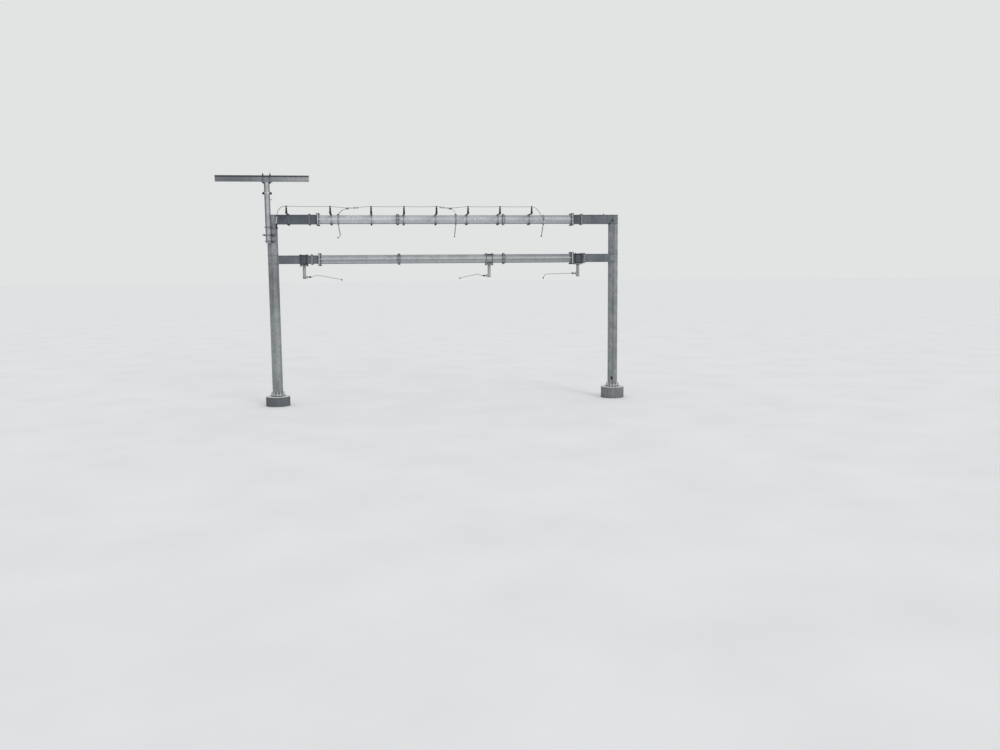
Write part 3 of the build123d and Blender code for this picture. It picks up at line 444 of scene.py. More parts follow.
def weathered_steel(name, tones, metallic, streak, rough=(0.42, 0.68), spangle=0.10, under=0.45, rust=0.0,
                    patch_scale=1.6, shades=()):
    """Galvanised or painted steel: broad patches, fine spangle, rain streaks, painted shade on downward
    faces, rust specks.
    shades is a list of (mask maker, colour, strength) laid over it."""
    base, pale, dark = tones
    n = Nodes(name)
    patches = n.noise(patch_scale, 6, 0.6)
    colour = n.mix(n.ramp(patches, 0.38, 0.66), base, pale)
    mottle = n.noise(*MOTTLE)
    tint_unevenness = n.ramp(n.noise(*TINT_NOISE), 0.3, 0.7, 0.75, 1.0)
    for mask, tint, strength in shades:
        amount = n.math("MULTIPLY", mask(n), n.math("MULTIPLY", tint_unevenness, strength))
        colour = n.mix(amount, colour, tint)
    colour = n.mix(n.ramp(mottle, 0.50, 0.72, 0, 0.55), colour, dark)
    grain = n.axis("X", n.cells(SPANGLE_SCALE, output="Color"))
    light = tuple(min(1.0, channel * 1.25 + 0.03) for channel in pale)
    colour = n.mix(n.ramp(grain, 0.0, 1.0, 0.0, spangle), colour, light)
    runs = n.noise(*RAIN_RUNS, stretch=(1, 1, 0.06))
    colour = n.mix(n.ramp(runs, 0.52, 0.74, 0, streak), colour, dark)
    pale_runs = n.noise(*PALE_RUNS, stretch=(1, 1, 0.05))
    colour = n.mix(n.ramp(pale_runs, 0.60, 0.80, 0, streak * 0.6), colour, light)
    # Painted shade: faces that look down are darkened towards the dark tone by the share under
    upward = n.axis("Z", n.normal)
    colour = n.mix(n.ramp(upward, -0.75, -0.95, 0, under), colour, dark)
    if rust:
        specks = n.noise(*RUST_SPECKS)
        where = n.ramp(n.noise(*RUST_AREAS), 0.50, 0.70)
        spot = n.math("MULTIPLY", n.ramp(specks, 0.62, 0.70), where)
        colour = n.mix(n.ramp(spot, 0.0, 1.0, 0, rust), colour, RUST)
    roughness = n.ramp(mottle, 0.3, 0.7, *rough)
    bump = n.bump(n.noise(*PITTING), 0.0008, 0.5)
    bump = n.bump(n.noise(*DENTS), 0.002, 0.35, bump)
    return n.done(colour, roughness, metallic, bump)


def concrete_material():
    """Cast concrete: blue-grey sides, pale top, pores, drips, and rust water below the plates."""
    n = Nodes("cast_concrete")
    broad = n.noise(2.2, 6, 0.6)
    colour = n.mix(n.ramp(broad, 0.35, 0.68), *CONCRETE)
    fine = n.noise(26.0, 8, 0.72)
    colour = n.mix(n.ramp(fine, 0.45, 0.75, 0, 0.5), colour, CONCRETE_PITS)
    drips = n.noise(11.0, 5, 0.6, stretch=(1, 1, 0.10))
    colour = n.mix(n.ramp(drips, 0.50, 0.72, 0, 0.55), colour, CONCRETE_DRIPS)
    colour = n.mix(n.ramp(n.axis("X"), 8.0, 7.0, 0, 0.66), colour, LEFT_CONCRETE)
    top = n.ramp(n.axis("Z", n.normal), 0.35, 0.95)
    pale_top = n.mix(n.ramp(fine, 0.35, 0.7), *PALE_TOP_CONCRETE)
    colour = n.mix(top, colour, pale_top)
    depth = n.math("MULTIPLY", n.axis("Y"), n.axis("Y"))
    for centre, _ in FOOTINGS:
        reach = n.math("SUBTRACT", n.axis("X"), centre)
        square = n.math("ADD", n.math("MULTIPLY", reach, reach), depth)
        shaded = n.math("MULTIPLY", n.ramp(square, *PLATE_SHADE_SQUARES, 0, 0.85), top)
        colour = n.mix(shaded, colour, PLATE_SHADE)
    level = n.math("ADD", n.axis("Z"), n.ramp(broad, 0.2, 0.8, -0.05, 0.08))
    colour = n.mix(n.ramp(level, 0.16, 0.02, 0, 0.55), colour, DAMP_CONCRETE)
    front = n.ramp(n.axis("Y", n.normal), -0.35, -0.75)
    wander = n.ramp(n.noise(7.0, 3, 0.5, stretch=(1, 1, 0.5)), 0.2, 0.8, -0.05, 0.05)
    for centre, width, strength in RUST_STREAKS:
        offset = n.math("ABSOLUTE", n.math("ADD", n.math("SUBTRACT", n.axis("X"), centre), wander))
        streak = n.math("MULTIPLY", n.ramp(offset, width, width * 0.2, 0, strength), front)
        streak = n.math("MULTIPLY", streak, n.ramp(fine, 0.30, 0.60, 0.35, 1.0))
        colour = n.mix(streak, colour, RUST_WATER)
    pores = n.ramp(n.cells(PORE_SCALE), 0.02, 0.22)
    bump = n.bump(pores, 0.0016, 0.35)
    bump = n.bump(n.noise(60.0, 7, 0.7), 0.003, 0.6, bump)
    bump = n.bump(n.noise(4.0, 3, 0.5), 0.006, 0.5, bump)
    return n.done(colour, n.ramp(fine, 0.3, 0.7, 0.82, 0.96), 0.0, bump)


def band(n, place, low, high):
    """1 between low and high, with sharp edges."""
    above = n.ramp(place, low - BAND_EDGE, low + BAND_EDGE)
    below = n.ramp(place, high + BAND_EDGE, high - BAND_EDGE)
    return n.math("MULTIPLY", above, below)


def glaze_material(name, axis, bands):
    """Insulator: dark glaze with dust on its upper sides, and metal ends.
    bands is a list of (low, high) on the axis that are metal, with the metal's two tones."""
    n = Nodes(name)
    n.shader.inputs["Specular IOR Level"].default_value = GLAZE_SPECULAR
    tone = n.noise(16.0, 5, 0.6)
    colour = n.mix(n.ramp(tone, 0.35, 0.7), *GLAZE)
    patches = n.ramp(n.noise(30.0, 6, 0.7), 0.3, 0.7, 0.4, 1.0)
    dust = n.math("MULTIPLY", n.ramp(n.axis("Z", n.normal), 0.1, 0.9), patches)
    colour = n.mix(n.ramp(dust, 0, 1, 0, 0.06), colour, GLAZE_DUST)
    place = n.axis(axis)
    roughness = n.ramp(tone, 0.3, 0.7, 0.40, 0.60)
    for low, high, worn, fresh in bands:
        metal = n.mix(n.ramp(n.noise(*METAL_WEAR), 0.4, 0.65), fresh, worn)
        inside = band(n, place, low, high)
        colour = n.mix(inside, colour, metal)
        roughness = n.math("MAXIMUM", roughness, n.ramp(inside, 0, 1, 0, 0.62))
    bump = n.bump(n.noise(*GLAZE_PITS), 0.0005, 0.35)
    return n.done(colour, roughness, 0.0, bump)


def polymer_material(name, bands):
    """Grey silicone sheds with dust, between metal ends where bands say."""
    n = Nodes(name)
    tone = n.noise(20.0, 5, 0.6)
    colour = n.mix(n.ramp(tone, 0.35, 0.7), *SILICONE)
    upward = n.axis("Z", n.normal)
    colour = n.mix(n.ramp(upward, 0.1, 0.9, 0, 0.35), colour, SILICONE_DUST)
    colour = n.mix(n.ramp(upward, -0.1, -0.9, 0, 0.45), colour, SILICONE_SHADE)
    metal = n.mix(n.ramp(n.noise(*METAL_WEAR), 0.4, 0.65), *HANGER_METAL)
    place = n.axis("Z")
    for low, high in bands:
        colour = n.mix(band(n, place, low, high), colour, metal)
    return n.done(colour, n.ramp(tone, 0.3, 0.7, 0.5, 0.7), 0.0, n.bump(n.noise(*GLAZE_PITS), 0.0005, 0.35))


def shade_of(tone, factor):
    """A tone made lighter or darker."""
    return tuple(min(1.0, channel * factor) for channel in tone)


def strand_material(name, tones, sooty=()):
    """Weathered stranded conductor; sooty is a list of (clean, dark) places along the crosspiece."""
    n = Nodes(name)
    tone = n.noise(18.0, 6, 0.65)
    colour = n.mix(n.ramp(tone, 0.35, 0.7), *tones)
    for clean, dark in sooty:
        colour = n.mix(n.ramp(n.axis("X"), clean, dark, 0, 0.85), colour, SOOT)
    wave = n.tree.nodes.new("ShaderNodeTexWave")
    wave.bands_direction = "DIAGONAL"
    wave.inputs["Scale"].default_value = STRANDS_PER_METRE
    wave.inputs["Distortion"].default_value = STRAND_UNEVENNESS
    n.link(n.place, wave.inputs["Vector"])
    lay = wave.outputs["Fac"]
    colour = n.mix(n.ramp(lay, 0.0, 0.5, 0.6, 0.0), colour, shade_of(tones[0], 0.35))
    return n.done(colour, n.ramp(tone, 0.3, 0.7, 0.42, 0.62), 0.45, n.bump(lay, 0.0015, 0.8))


def near(axis, centre, half, soft=0.03):
    """Mask maker: 1 within half of the centre along an axis, falling to 0 over the soft length."""
    def mask(n):
        offset = n.math("ABSOLUTE", n.math("SUBTRACT", n.axis(axis), centre))
        return n.ramp(offset, half + soft, half)
    return mask


def past(axis, start, end):
    """Mask maker that rises from 0 to 1 between two places on an axis."""
    def mask(n):
        return n.ramp(n.axis(axis), start, end)
    return mask


def facing(axis, start, end):
    """Mask maker for surfaces that face one way."""
    def mask(n):
        return n.ramp(n.axis(axis, n.normal), start, end)
    return mask


def both(first, second):
    """Mask maker for the places where two masks meet."""
    def mask(n):
        return n.math("MULTIPLY", first(n), second(n))
    return mask


def clamp_rod_ends(n):
    """Mask of the extension clamps' outer ends, along the way that the column's front left facet faces."""
    across = n.math("MULTIPLY", n.axis("X"), cos(FACET))
    forward = n.math("MULTIPLY", n.axis("Y"), sin(FACET))
    return n.ramp(n.math("ADD", across, forward), 0.454, 0.459)


def lower_facets(n):
    """Mask of an octagon's facets that slope in below, where the beams get painted light."""
    slope = n.math("ADD", n.axis("Z", n.normal), 0.707)
    return n.ramp(n.math("ABSOLUTE", slope), 0.15, 0.05)


# Where the arms pass the columns (half length, soft length), and the arms' flange plates
RING = (0.24, 0.05)
RINGS = [(near("X", 0.0, *RING), PLAIN_ZINC, 0.7), (near("X", SPACING, *RING), PLAIN_ZINC, 0.10)]
FLANGES = [(near("X", x, FLANGE + 0.004, 0.002), FLANGE_ZINC, 0.85) for x in UPPER_JOINTS + LOWER_JOINTS]


def column_steel(name, shades=()):
    """Mottled galvanised steel of the columns."""
    return weathered_steel(name, COLUMN_TONES, metallic=0.25, streak=0.60, rust=0.35, patch_scale=3.0,
                           shades=shades)


def arm_steel(name, tones, shades=()):
    """Painted steel of a box arm, paler at the column and on its flange."""
    return weathered_steel(name, tones, metallic=0.15, streak=0.40, rough=(0.50, 0.72), spangle=0.05,
                           rust=0.30, shades=[*RINGS, *shades, *FLANGES])


def beam_steel(name, tones, level, joints, splices, middle_line, past_splice):
    """Galvanised steel of a crosspiece's beams, grimy at their joints, with painted shade on downward faces,
    along the lower edge and in a band below the middle, and painted light in a band above it and on the
    facets that slope in below. middle_line and past_splice are the strengths of the painted shade band and of
    the darker stretch past the first splice."""
    shades = [(near("X", x, 0.045, 0.10), GRIME_AND_SHADE, 0.60) for x in splices]
    for x, side in zip(joints, (1, -1)):
        shades.append((near("X", x + side * (FLANGE + 0.020), 0.018, 0.010), GRIME_AND_SHADE, 0.85))
    shades += [(past("X", 9.0, 13.0), shade_of(tones[0], 0.55), 0.65),
               # Painted light on the facets that slope in below, painted shade along the lower edge and in a
               # band below the middle, painted light in a band above it
               (lower_facets, shade_of(tones[1], 1.3), 0.55),
               (past("Z", level - 0.164, level - 0.176), GRIME_AND_SHADE, 0.85),
               (near("Z", level - 0.050, 0.022, 0.015), tones[2], middle_line),
               (near("Z", level + 0.036, 0.030, 0.015), shade_of(tones[1], 1.15), 0.65),
               (past("X", 5.2, 6.2), shade_of(tones[0], 0.60), past_splice)]
    return weathered_steel(name, tones, metallic=0.20, streak=0.35, under=0.95, patch_scale=1.2,
                           shades=shades)


def fitting_steel(name, shades=()):
    """Dull galvanised steel with some rust."""
    return weathered_steel(name, FITTING_TONES, metallic=0.30, streak=0.35, rust=0.30, shades=shades)


def dark_iron(name, shades=()):
    """Blackened iron with rust."""
    return weathered_steel(name, IRON_TONES, metallic=0.10, streak=0.30, rough=(0.55, 0.80), spangle=0.03,
                           rust=0.50, shades=shades)


# Materials by slot
MATERIALS = {
    "concrete": concrete_material(),
    "column_steel": column_steel("column_steel"),
    "arm_steel": arm_steel("arm_steel", ARM_TONES, [
        (near("X", LEFT_POST, 0.165, 0.01), GRIME_AND_SHADE, 0.70),
        (near("X", 0.0, *RING), ARM_TONES[0], 0.45)]),
    "beam_steel": weathered_steel("beam_steel", BEAM_TONES, metallic=0.25, streak=0.35, under=0.65,
                                  patch_scale=1.2),
    "clamp_steel": weathered_steel("clamp_steel", CLAMP_TONES, metallic=0.45, streak=0.30,
                                   rough=(0.36, 0.60)),
    "dark_iron": dark_iron("dark_iron"),
    "fitting_steel": fitting_steel("fitting_steel"),
    "cable": strand_material("stranded_aluminium", FEEDER_TONES, FEEDER_SOOT),
}

# Materials of single nodes, with the stretches that are paler or darker on them
OWN_MATERIALS = {
    "left_column": column_steel("left_column_steel", [
        (near("Z", 5.45, 0.40, 0.70), GRIME_AND_SHADE, 0.42),
        (past("Z", 7.28, 7.50), GRIME_AND_SHADE, 0.32),
        (near("Z", 2.70, 0.70, 0.80), PALER_ZINC, 0.35)]),
    "right_column": column_steel("right_column_steel", [
        # Painted light on the left facets
        (facing("X", -0.5, -0.8), PAINTED_LIGHT_ZINC, 0.50),
        (near("X", SPACING - 0.025, 0.030, 0.050), GRIME_AND_SHADE, 0.25),
        (past("Z", 7.93, 7.99), ARM_TONES[0], 0.60)]),
    "left_upper_arm": arm_steel("left_upper_arm_steel", DARK_ARM_TONES),
    "right_upper_arm": arm_steel("right_upper_arm_steel", ARM_TONES, [(near("X", 13.50, 0.19), GRIME_AND_SHADE, 0.65)]),
    "right_lower_arm": arm_steel("right_lower_arm_steel", ARM_TONES, [(near("X", 13.56, 0.24), GRIME_AND_SHADE, 0.65)]),
    "crossarm": weathered_steel("crossarm_steel", CROSSARM_TONES, metallic=0.25, streak=0.35, shades=[
        (past("X", -0.8, 1.4), CROSSARM_ZINC, 0.95),
        # Painted shadow of the top flange on the top of the web
        (past("Z", CROSSARM_TOP - 0.080, CROSSARM_TOP - 0.050), GRIME_AND_SHADE, 0.9)]),
    "extension_post": weathered_steel("extension_steel", EXTENSION_TONES, metallic=0.20, streak=0.35, shades=[
        # Painted shade on the left and right facets and along both sides of the post
        (facing("X", -0.6, -0.9), GRIME_AND_SHADE, 0.95),
        (facing("X", 0.6, 0.9), GRIME_AND_SHADE, 0.45),
        (past("X", POST_XY[0] - 0.045, POST_XY[0] - 0.066), GRIME_AND_SHADE, 0.80),
        (past("X", POST_XY[0] + 0.045, POST_XY[0] + 0.066), GRIME_AND_SHADE, 0.45)]),
    "steady_arms": weathered_steel("steady_arm_steel", STEADY_ARM_TONES, metallic=0.35, streak=0.30),
    "arm_clamps": weathered_steel("arm_clamp_steel", ARM_CLAMP_TONES, metallic=0.25, streak=0.45,
                                  rough=(0.45, 0.68), shades=[
        (both(past("X", 5.0, 4.0), past("Z", 7.2, 7.3)), DULL_CLAMP, 0.75),
        (past("X", 13.2, 13.4), RIGHT_CLAMP, 0.60)]),
    "extension_clamps": weathered_steel("extension_clamp_steel", EXTENSION_CLAMP_TONES, metallic=0.35,
                                        streak=0.35, rough=(0.40, 0.64),
                                        shades=[(clamp_rod_ends, GRIME_AND_SHADE, 1.0)]),
    "drop_posts": weathered_steel("drop_post_steel", DROP_POST_TONES, metallic=0.20, streak=0.40, shades=[
        (near("X", MIDDLE_POST, 0.20), MIDDLE_PIPE, 0.80),
        (near("X", LEFT_POST, 0.20), LEFT_PIPE, 0.70),
        (both(past("Z", 5.672, 5.664), past("X", 9.0, 8.9)), GRIME_AND_SHADE, 0.70),
        (past("Z", 6.145, 6.150), GRIME_AND_SHADE, 0.45)]),
    "drop_clamps": dark_iron("drop_clamp_iron", [(near("X", MIDDLE_POST, 0.30), DROP_CLAMP_ZINC, 0.85)]),
    "tap_fittings": weathered_steel("tap_fitting_steel", TAP_FITTING_TONES, metallic=0.20, streak=0.30,
                                    shades=[(past("Z", 8.425, 8.415), GRIME_AND_SHADE, 0.9)]),
    "feeder_taps": strand_material("tap_aluminium", TAP_TONES),
    "insulator_brackets": dark_iron("bracket_iron", [(near("Z", UPPER, 0.190, 0.003), TIE_ZINC, 0.9)]),
    "hanger_straps": fitting_steel("strap_steel", [(past("Z", 7.982, 7.974), GRIME_AND_SHADE, 1.0)]),
}

# Beams: tones, and the strengths of the painted shade band in the middle and of the darker stretch past the
# first splice
BEAM_LOOKS = {"upper": (BEAM_TONES, 0.22, 0.22), "lower": (LOWER_BEAM_TONES, 0.70, 0.0)}
for label, *places in CROSSPIECES:
    tones, *strengths = BEAM_LOOKS[label]
    steel = beam_steel(f"{label}_beam_steel", tones, *places, *strengths)
    for part in ("left", "middle", "right"):
        OWN_MATERIALS[f"{label}_beam_{part}"] = steel

record = frame["record"]
slot_of = {part["node"]: part["material_slot"] for part in record["subparts"]}


def paint(node, material):
    """Give a CAD node its material."""
    mesh = frame["nodes"][node].data
    mesh.materials.clear()
    mesh.materials.append(material)


def paint_insulators():
    """Give each insulator its glaze or silicone, with metal ends where the solid has them."""
    seat = UPPER + BEAM_FLAT / 2 + BRACKET_BAR
    paint("feeder_insulators", glaze_material("post_insulator_glaze", "Z", [
        (seat + POST_FOOT[0], seat + POST_FOOT[1], *BLACK_FOOT),
        (seat + POST_CAP[0], seat + POST_CAP[1], *GREY_CAP)]))
    for place, (post_x, side, _) in DROP_POSTS.items():
        pin_x = post_x + side * (SWIVEL_PIN + UPLIFT_PIN)
        bands = []
        for ends in ARM_CAPS:
            low, high = sorted(pin_x + side * end for end in ends)
            bands.append((low, high, *BLACK_FOOT))
        paint(f"{place}_arm_insulator", glaze_material(f"{place}_arm_glaze", "X", bands))
    for place, foot in HANGER_FEET.items():
        bands = [(PIN_LEVEL + HANGER_CAP[0], PIN_LEVEL + HANGER_CAP[1]), foot]
        paint(f"{place}_hanger", polymer_material(f"{place}_hanger_silicone", bands))


for node, slot_name in slot_of.items():
    own = "steady_arms" if node.endswith("steady_arm") else node
    if own in OWN_MATERIALS:
        paint(node, OWN_MATERIALS[own])
    elif slot_name in MATERIALS:
        paint(node, MATERIALS[slot_name])
paint_insulators()


# Hardware: nuts are (across flats, height), washers (radius, thickness), threads (radius, length)
M36 = 0.036
M30 = 0.030
BEAM_WELD = 0.006
COLUMN_WELD = 0.008
LOCK_NUT = (0.046, 0.016)
LOCK_NUT_SEAT = 0.024
ANCHOR_THREAD = (0.0154, 0.062)
ANCHOR_PITCH = 0.006
ARM_CLAMP_WASHER = (0.023, 0.004)
ARM_CLAMP_NUT = (0.041, 0.020)
ARM_CLAMP_BAR = 0.014
ARM_CLAMP_CLEARANCE = 0.015
DROP_CLAMP_RODS = (0.140, 0.212)
DROP_CLAMP_PLATE = 0.020
DROP_CLAMP_BOX = 0.060
DROP_CLAMP_WASHER = (0.023, 0.0035)
DROP_CLAMP_NUT = (0.036, 0.019)
SWIVEL_NUT = (0.034, 0.016)
SWIVEL_NUT_SEAT = 0.040
SWIVEL_PIN_END = (0.0085, 0.012)
SWIVEL_PIN_SEAT = 0.050
BRACKET_ROD = 0.210
BRACKET_NUT = (0.030, 0.016)
STAND_OFF_NUT = (0.030, 0.015)
STAND_OFF_THREAD = (0.010, 0.018)
KEEPER_NUT = (0.017, 0.010)
KEEPER_SEAT = 0.064
KEEPER_HALF_LENGTH = 0.020
KEEPER_HALF_WIDTH = 0.016
SADDLE_TOP = 0.026
SADDLE_TOP_WASHER = (0.020, 0.003)
SADDLE_TOP_NUT = (0.031, 0.016)
SADDLE_PLATE = 0.020
SADDLE_FOOT_WASHER = (0.028, 0.004)
SADDLE_FOOT_NUT = (0.046, 0.030)

# How far each nut is turned from the one before it, or per metre of its place
ROW_TURN = 0.7
SIDE_TURN = 0.35
SPLICE_NUT_TURN = 0.5
SPLICE_HEAD_TURN = 0.3
LOCK_NUT_TURN = 0.3
DROP_CLAMP_TURNS = (9, 7)
KEEPER_TURNS = ((-1, 20), (1, 30))

# Extension post's clamps: rods (level, place across the facet, nut's flats) and caps (same, radius)
CLAMP_RODS = ((7.233, 0.226, 0.066), (7.500, 0.226, 0.088), (7.500, -0.144, 0.052), (7.830, 0.226, 0.052))
CLAMP_CAPS = ((7.200, 0.262, 0.036), (7.484, 0.256, 0.050), (7.828, 0.250, 0.028))
CLAMP_FACES = ((0.458, 1), (0.210, -1))
CLAMP_WASHER_SHARE = 0.57
CLAMP_WASHER = 0.005
CLAMP_NUT = 0.026
CAP_DOME = ((1.0, 0), (1.0, 0.022), (0.85, 0.040), (0.5, 0.050))

# Taper on the middle clamp: reach from the post's axis, level, half height, half thickness
CLAMP_TAPER = ((-0.112, 7.484, 0.034, 0.018), (-0.160, 7.487, 0.030, 0.016), (-0.215, 7.494, 0.022, 0.012),
               (-0.268, 7.502, 0.010, 0.007))

# Bond strip: level, half width, thickness; and the bolt at its foot
BOND_STRIP = ((7.972, 0.060, 0.016), (7.90, 0.056, 0.014), (7.82, 0.050, 0.012), (7.78, 0.044, 0.010))
BOND_BOLT_LEVEL = 7.805
BOND_BOLT_SEAT = 0.010
BOND_WASHER = (0.036, 0.006)
BOND_NUT = (0.060, 0.034)
BOND_THREAD = (0.016, 0.030)

# Stay shackles: bolt, nuts and bow, which is (radius, height) from its foot
SHACKLE_INSET = 0.030
SHACKLE_BOLT = (0.012, 0.090)
SHACKLE_NUT = (0.050, 0.022)
SHACKLE_LUG_HALF = 0.012
SHACKLE_DROP = 0.075
SHACKLE_BOW = ((0.006, 0), (0.034, 0.012), (0.043, 0.045), (0.030, 0.085), (0.010, 0.110))
SHACKLE_SIDES = 16

# Right column's top: washer round the wire anchor, and two bolts
ANCHOR_WASHER = ((0.044, 0), (0.050, 0.008), (0.050, 0.018))
ANCHOR_LAP = 0.004
CORNER_BOLT = (15.035, -ARM_PLATE_HALF, 7.990)
TOP_BOLT = (14.760, -0.110, UPPER + UPPER_ARM_HEIGHT / 2)


def octagon(x, level, flat, along="X", turn=pi / 8):
    """Corners of an octagon across the X axis or across the Z axis."""
    radius = flat / 2 / cos(pi / 8)
    angles = [turn + pi / 4 * index for index in range(8)]
    if along == "X":
        return [(x, radius * cos(angle), level + radius * sin(angle)) for angle in angles]
    return [(x + radius * cos(angle), radius * sin(angle), level) for angle in angles]


def upper_half_height(x):
    """Half the height of the upper crosspiece at a place along it, on its left and middle."""
    return (UPPER_ARM_HEIGHT if x < UPPER_JOINTS[0] else BEAM_FLAT) / 2


def facet_directions(angle):
    """The way that a column's facet faces, and the level direction along it."""
    return Vector((cos(angle), sin(angle), 0)), Vector((-sin(angle), cos(angle), 0))


def flange_bolts():
    """Bolts of the four arm joints and the four beam splices, their nuts turned unevenly."""
    for label, level, joints, splices in CROSSPIECES:
        bolts = Mesh()
        for joint, beam_side in zip(joints, (1, -1)):
            for row, z in enumerate(FLANGE_ROWS):
                for y in (-FLANGE_HALF_WIDTH, FLANGE_HALF_WIDTH):
                    turn = row * ROW_TURN + (y > 0) * SIDE_TURN
                    nut_face = (joint + beam_side * FLANGE, y, level + z)
                    head_face = (joint - beam_side * FLANGE, y, level + z)
                    bolts.bolt_end(nut_face, (beam_side, 0, 0), M36, turn)
                    bolts.bolt_head(head_face, (-beam_side, 0, 0), M36, turn)
        for splice in splices:
            for index in range(SPLICE_BOLTS):
                angle = 2 * pi * index / SPLICE_BOLTS
                y = SPLICE_BOLT_RADIUS * cos(angle)
                z = level + SPLICE_BOLT_RADIUS * sin(angle)
                bolts.bolt_end((splice + SPLICE, y, z), (1, 0, 0), M30, index * SPLICE_NUT_TURN)
                bolts.bolt_head((splice - SPLICE, y, z), (-1, 0, 0), M30, index * SPLICE_HEAD_TURN)
        bolts.finish(f"{label}_flange_bolts", MATERIALS["dark_iron"])


def beam_welds():
    """Weld beads where the octagonal beams meet their flanges."""
    for label, level, joints, splices in CROSSPIECES:
        beads = Mesh()
        faces = [joints[0] + FLANGE, joints[1] - FLANGE]
        for splice in splices:
            faces += [splice - SPLICE, splice + SPLICE]
        for x in faces:
            beads.bead(octagon(x, level, BEAM_FLAT), BEAM_WELD, up=(1, 0, 0))
        beads.finish(f"{label}_beam_welds", OWN_MATERIALS[f"{label}_beam_left"])


def column_welds():
    """Weld beads round the columns at the arms' plates and at the base plates."""
    beads = Mesh()
    lower_half = LOWER_ARM_HEIGHT / 2
    levels = (UPPER - UPPER_ARM_HEIGHT / 2, LOWER - lower_half, LOWER + lower_half)
    for x, footing in FOOTINGS:
        beads.bead(octagon(x, footing + PLATE_GAP + PLATE, COLUMN_FLAT, "Z", 0.0), COLUMN_WELD)
        for level in levels:
            beads.bead(octagon(x, level, COLUMN_FLAT, "Z", 0.0), BEAM_WELD)
    beads.finish("column_welds", MATERIALS["column_steel"])


def anchor_lock_nuts():
    """Lock nuts and thread on the anchor bolts, above the base plates."""
    hardware = Mesh()
    for x, footing in FOOTINGS:
        seat = footing + PLATE_GAP + PLATE + LOCK_NUT_SEAT
        for index in range(ANCHOR_BOLTS):
            angle = 2 * pi * index / ANCHOR_BOLTS
            bolt_x = x + ANCHOR_CIRCLE * cos(angle)
            bolt_y = ANCHOR_CIRCLE * sin(angle)
            hardware.nut((bolt_x, bolt_y, seat), UP, *LOCK_NUT, turn=LOCK_NUT_TURN + index)
            hardware.stud((bolt_x, bolt_y, seat + LOCK_NUT[1]), UP, *ANCHOR_THREAD, ANCHOR_PITCH)
    hardware.finish("anchor_lock_nuts", MATERIALS["clamp_steel"])


def arm_clamp_nuts():
    """Washers and nuts on the rods of the arm clamps."""
    nuts = Mesh()
    for level, height, positions in ARM_CLAMPS:
        reach = height / 2 + ARM_CLAMP_CLEARANCE
        for x in positions:
            for z in (level - reach, level + reach):
                for side in (-1, 1):
                    face = (x, side * (ARM_PLATE_HALF + ARM_CLAMP_BAR), z)
                    nuts.washer_and_nut(face, (0, side, 0), ARM_CLAMP_WASHER, ARM_CLAMP_NUT)
    nuts.finish("arm_clamp_nuts", MATERIALS["dark_iron"])


def extension_clamp_nuts():
    """Nuts and domed caps on the extension post's clamps, and the taper on the middle one."""
    nuts = Mesh()
    outward, across = facet_directions(FACET)
    for z, place, flat in CLAMP_RODS:
        for distance, direction in CLAMP_FACES:
            spot = outward * distance + across * place + Vector((0, 0, z))
            washer = (flat * CLAMP_WASHER_SHARE, CLAMP_WASHER)
            nuts.washer_and_nut(spot, outward * direction, washer, (flat, CLAMP_NUT), turn=z)
    for z, place, radius in CLAMP_CAPS:
        spot = outward * CLAMP_FACES[0][0] + across * place + Vector((0, 0, z))
        dome = [(radius * share, height) for share, height in CAP_DOME]
        nuts.lathe(spot, outward, dome, ROUND_SIDES)
    x, y = POST_XY
    nuts.rings([[(x + reach, y + dy * thick, z + dz * half) for dy, dz in SQUARE]
                for reach, z, half, thick in CLAMP_TAPER])
    nuts.finish("extension_clamp_nuts", MATERIALS["dark_iron"])


def bond_strip():
    """Dark bond strip down the column's right front facet, and the bolt at its foot."""
    strip = Mesh()
    outward, across = facet_directions(RIGHT_FACET)
    face = outward * COLUMN_FLAT / 2
    rings = []
    for z, half, lift in BOND_STRIP:
        corners = ((-half, 0), (half, 0), (half, lift), (-half, lift))
        rings.append([face + across * side + outward * out + Vector((0, 0, z)) for side, out in corners])
    strip.rings(rings)
    spot = face + outward * BOND_BOLT_SEAT + Vector((0, 0, BOND_BOLT_LEVEL))
    strip.washer_and_nut(spot, outward, BOND_WASHER, BOND_NUT)
    strip.stud(spot + outward * (BOND_WASHER[1] + BOND_NUT[1]), outward, *BOND_THREAD)
    strip.finish("bond_strip", MATERIALS["dark_iron"])


def stay_shackles():
    """Bolt and shackle in each of the stay lugs."""
    shackles = Mesh()
    low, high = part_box("stay_lugs")
    level = (low.z + high.z) / 2
    centre = (low.y + high.y) / 2
    for x in (low.x + SHACKLE_INSET, high.x - SHACKLE_INSET):
        shackles.stud((x, centre - SHACKLE_BOLT[1] / 2, level), (0, 1, 0), *SHACKLE_BOLT)
        for side in (-1, 1):
            face = (x, centre + side * SHACKLE_LUG_HALF, level)
            shackles.nut(face, (0, side, 0), *SHACKLE_NUT, turn=side)
        shackles.lathe((x, centre, level - SHACKLE_DROP), UP, SHACKLE_BOW, SHACKLE_SIDES)
    shackles.finish("stay_shackles", MATERIALS["dark_iron"])


def right_corner_bolts():
    """At the right column: washer round the wire anchor, bolt in the inner corner, bolt on the arm's top."""
    bolts = Mesh()
    low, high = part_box("wire_anchor")
    middle = (low + high) / 2
    bolts.lathe((middle.x, low.y + ANCHOR_LAP, middle.z), (0, 1, 0), ANCHOR_WASHER, ROUND_SIDES)
    bolts.bolt_end(CORNER_BOLT, (0, -1, 0), M36)
    bolts.bolt_end(TOP_BOLT, UP, M30)
    bolts.finish("right_corner_bolts", MATERIALS["dark_iron"])


def swivel_pin_nuts():
    """Nuts above and below the brackets on the drop posts' upright pins."""
    nuts = Mesh()
    for x, side, level in DROP_POSTS.values():
        pin_x = x + side * SWIVEL_PIN
        for way in (-1, 1):
            nuts.nut((pin_x, 0, level + way * SWIVEL_NUT_SEAT), (0, 0, way), *SWIVEL_NUT, turn=x)
            nuts.stud((pin_x, 0, level + way * SWIVEL_PIN_SEAT), (0, 0, way), *SWIVEL_PIN_END)
    nuts.finish("swivel_pin_nuts", MATERIALS["dark_iron"])


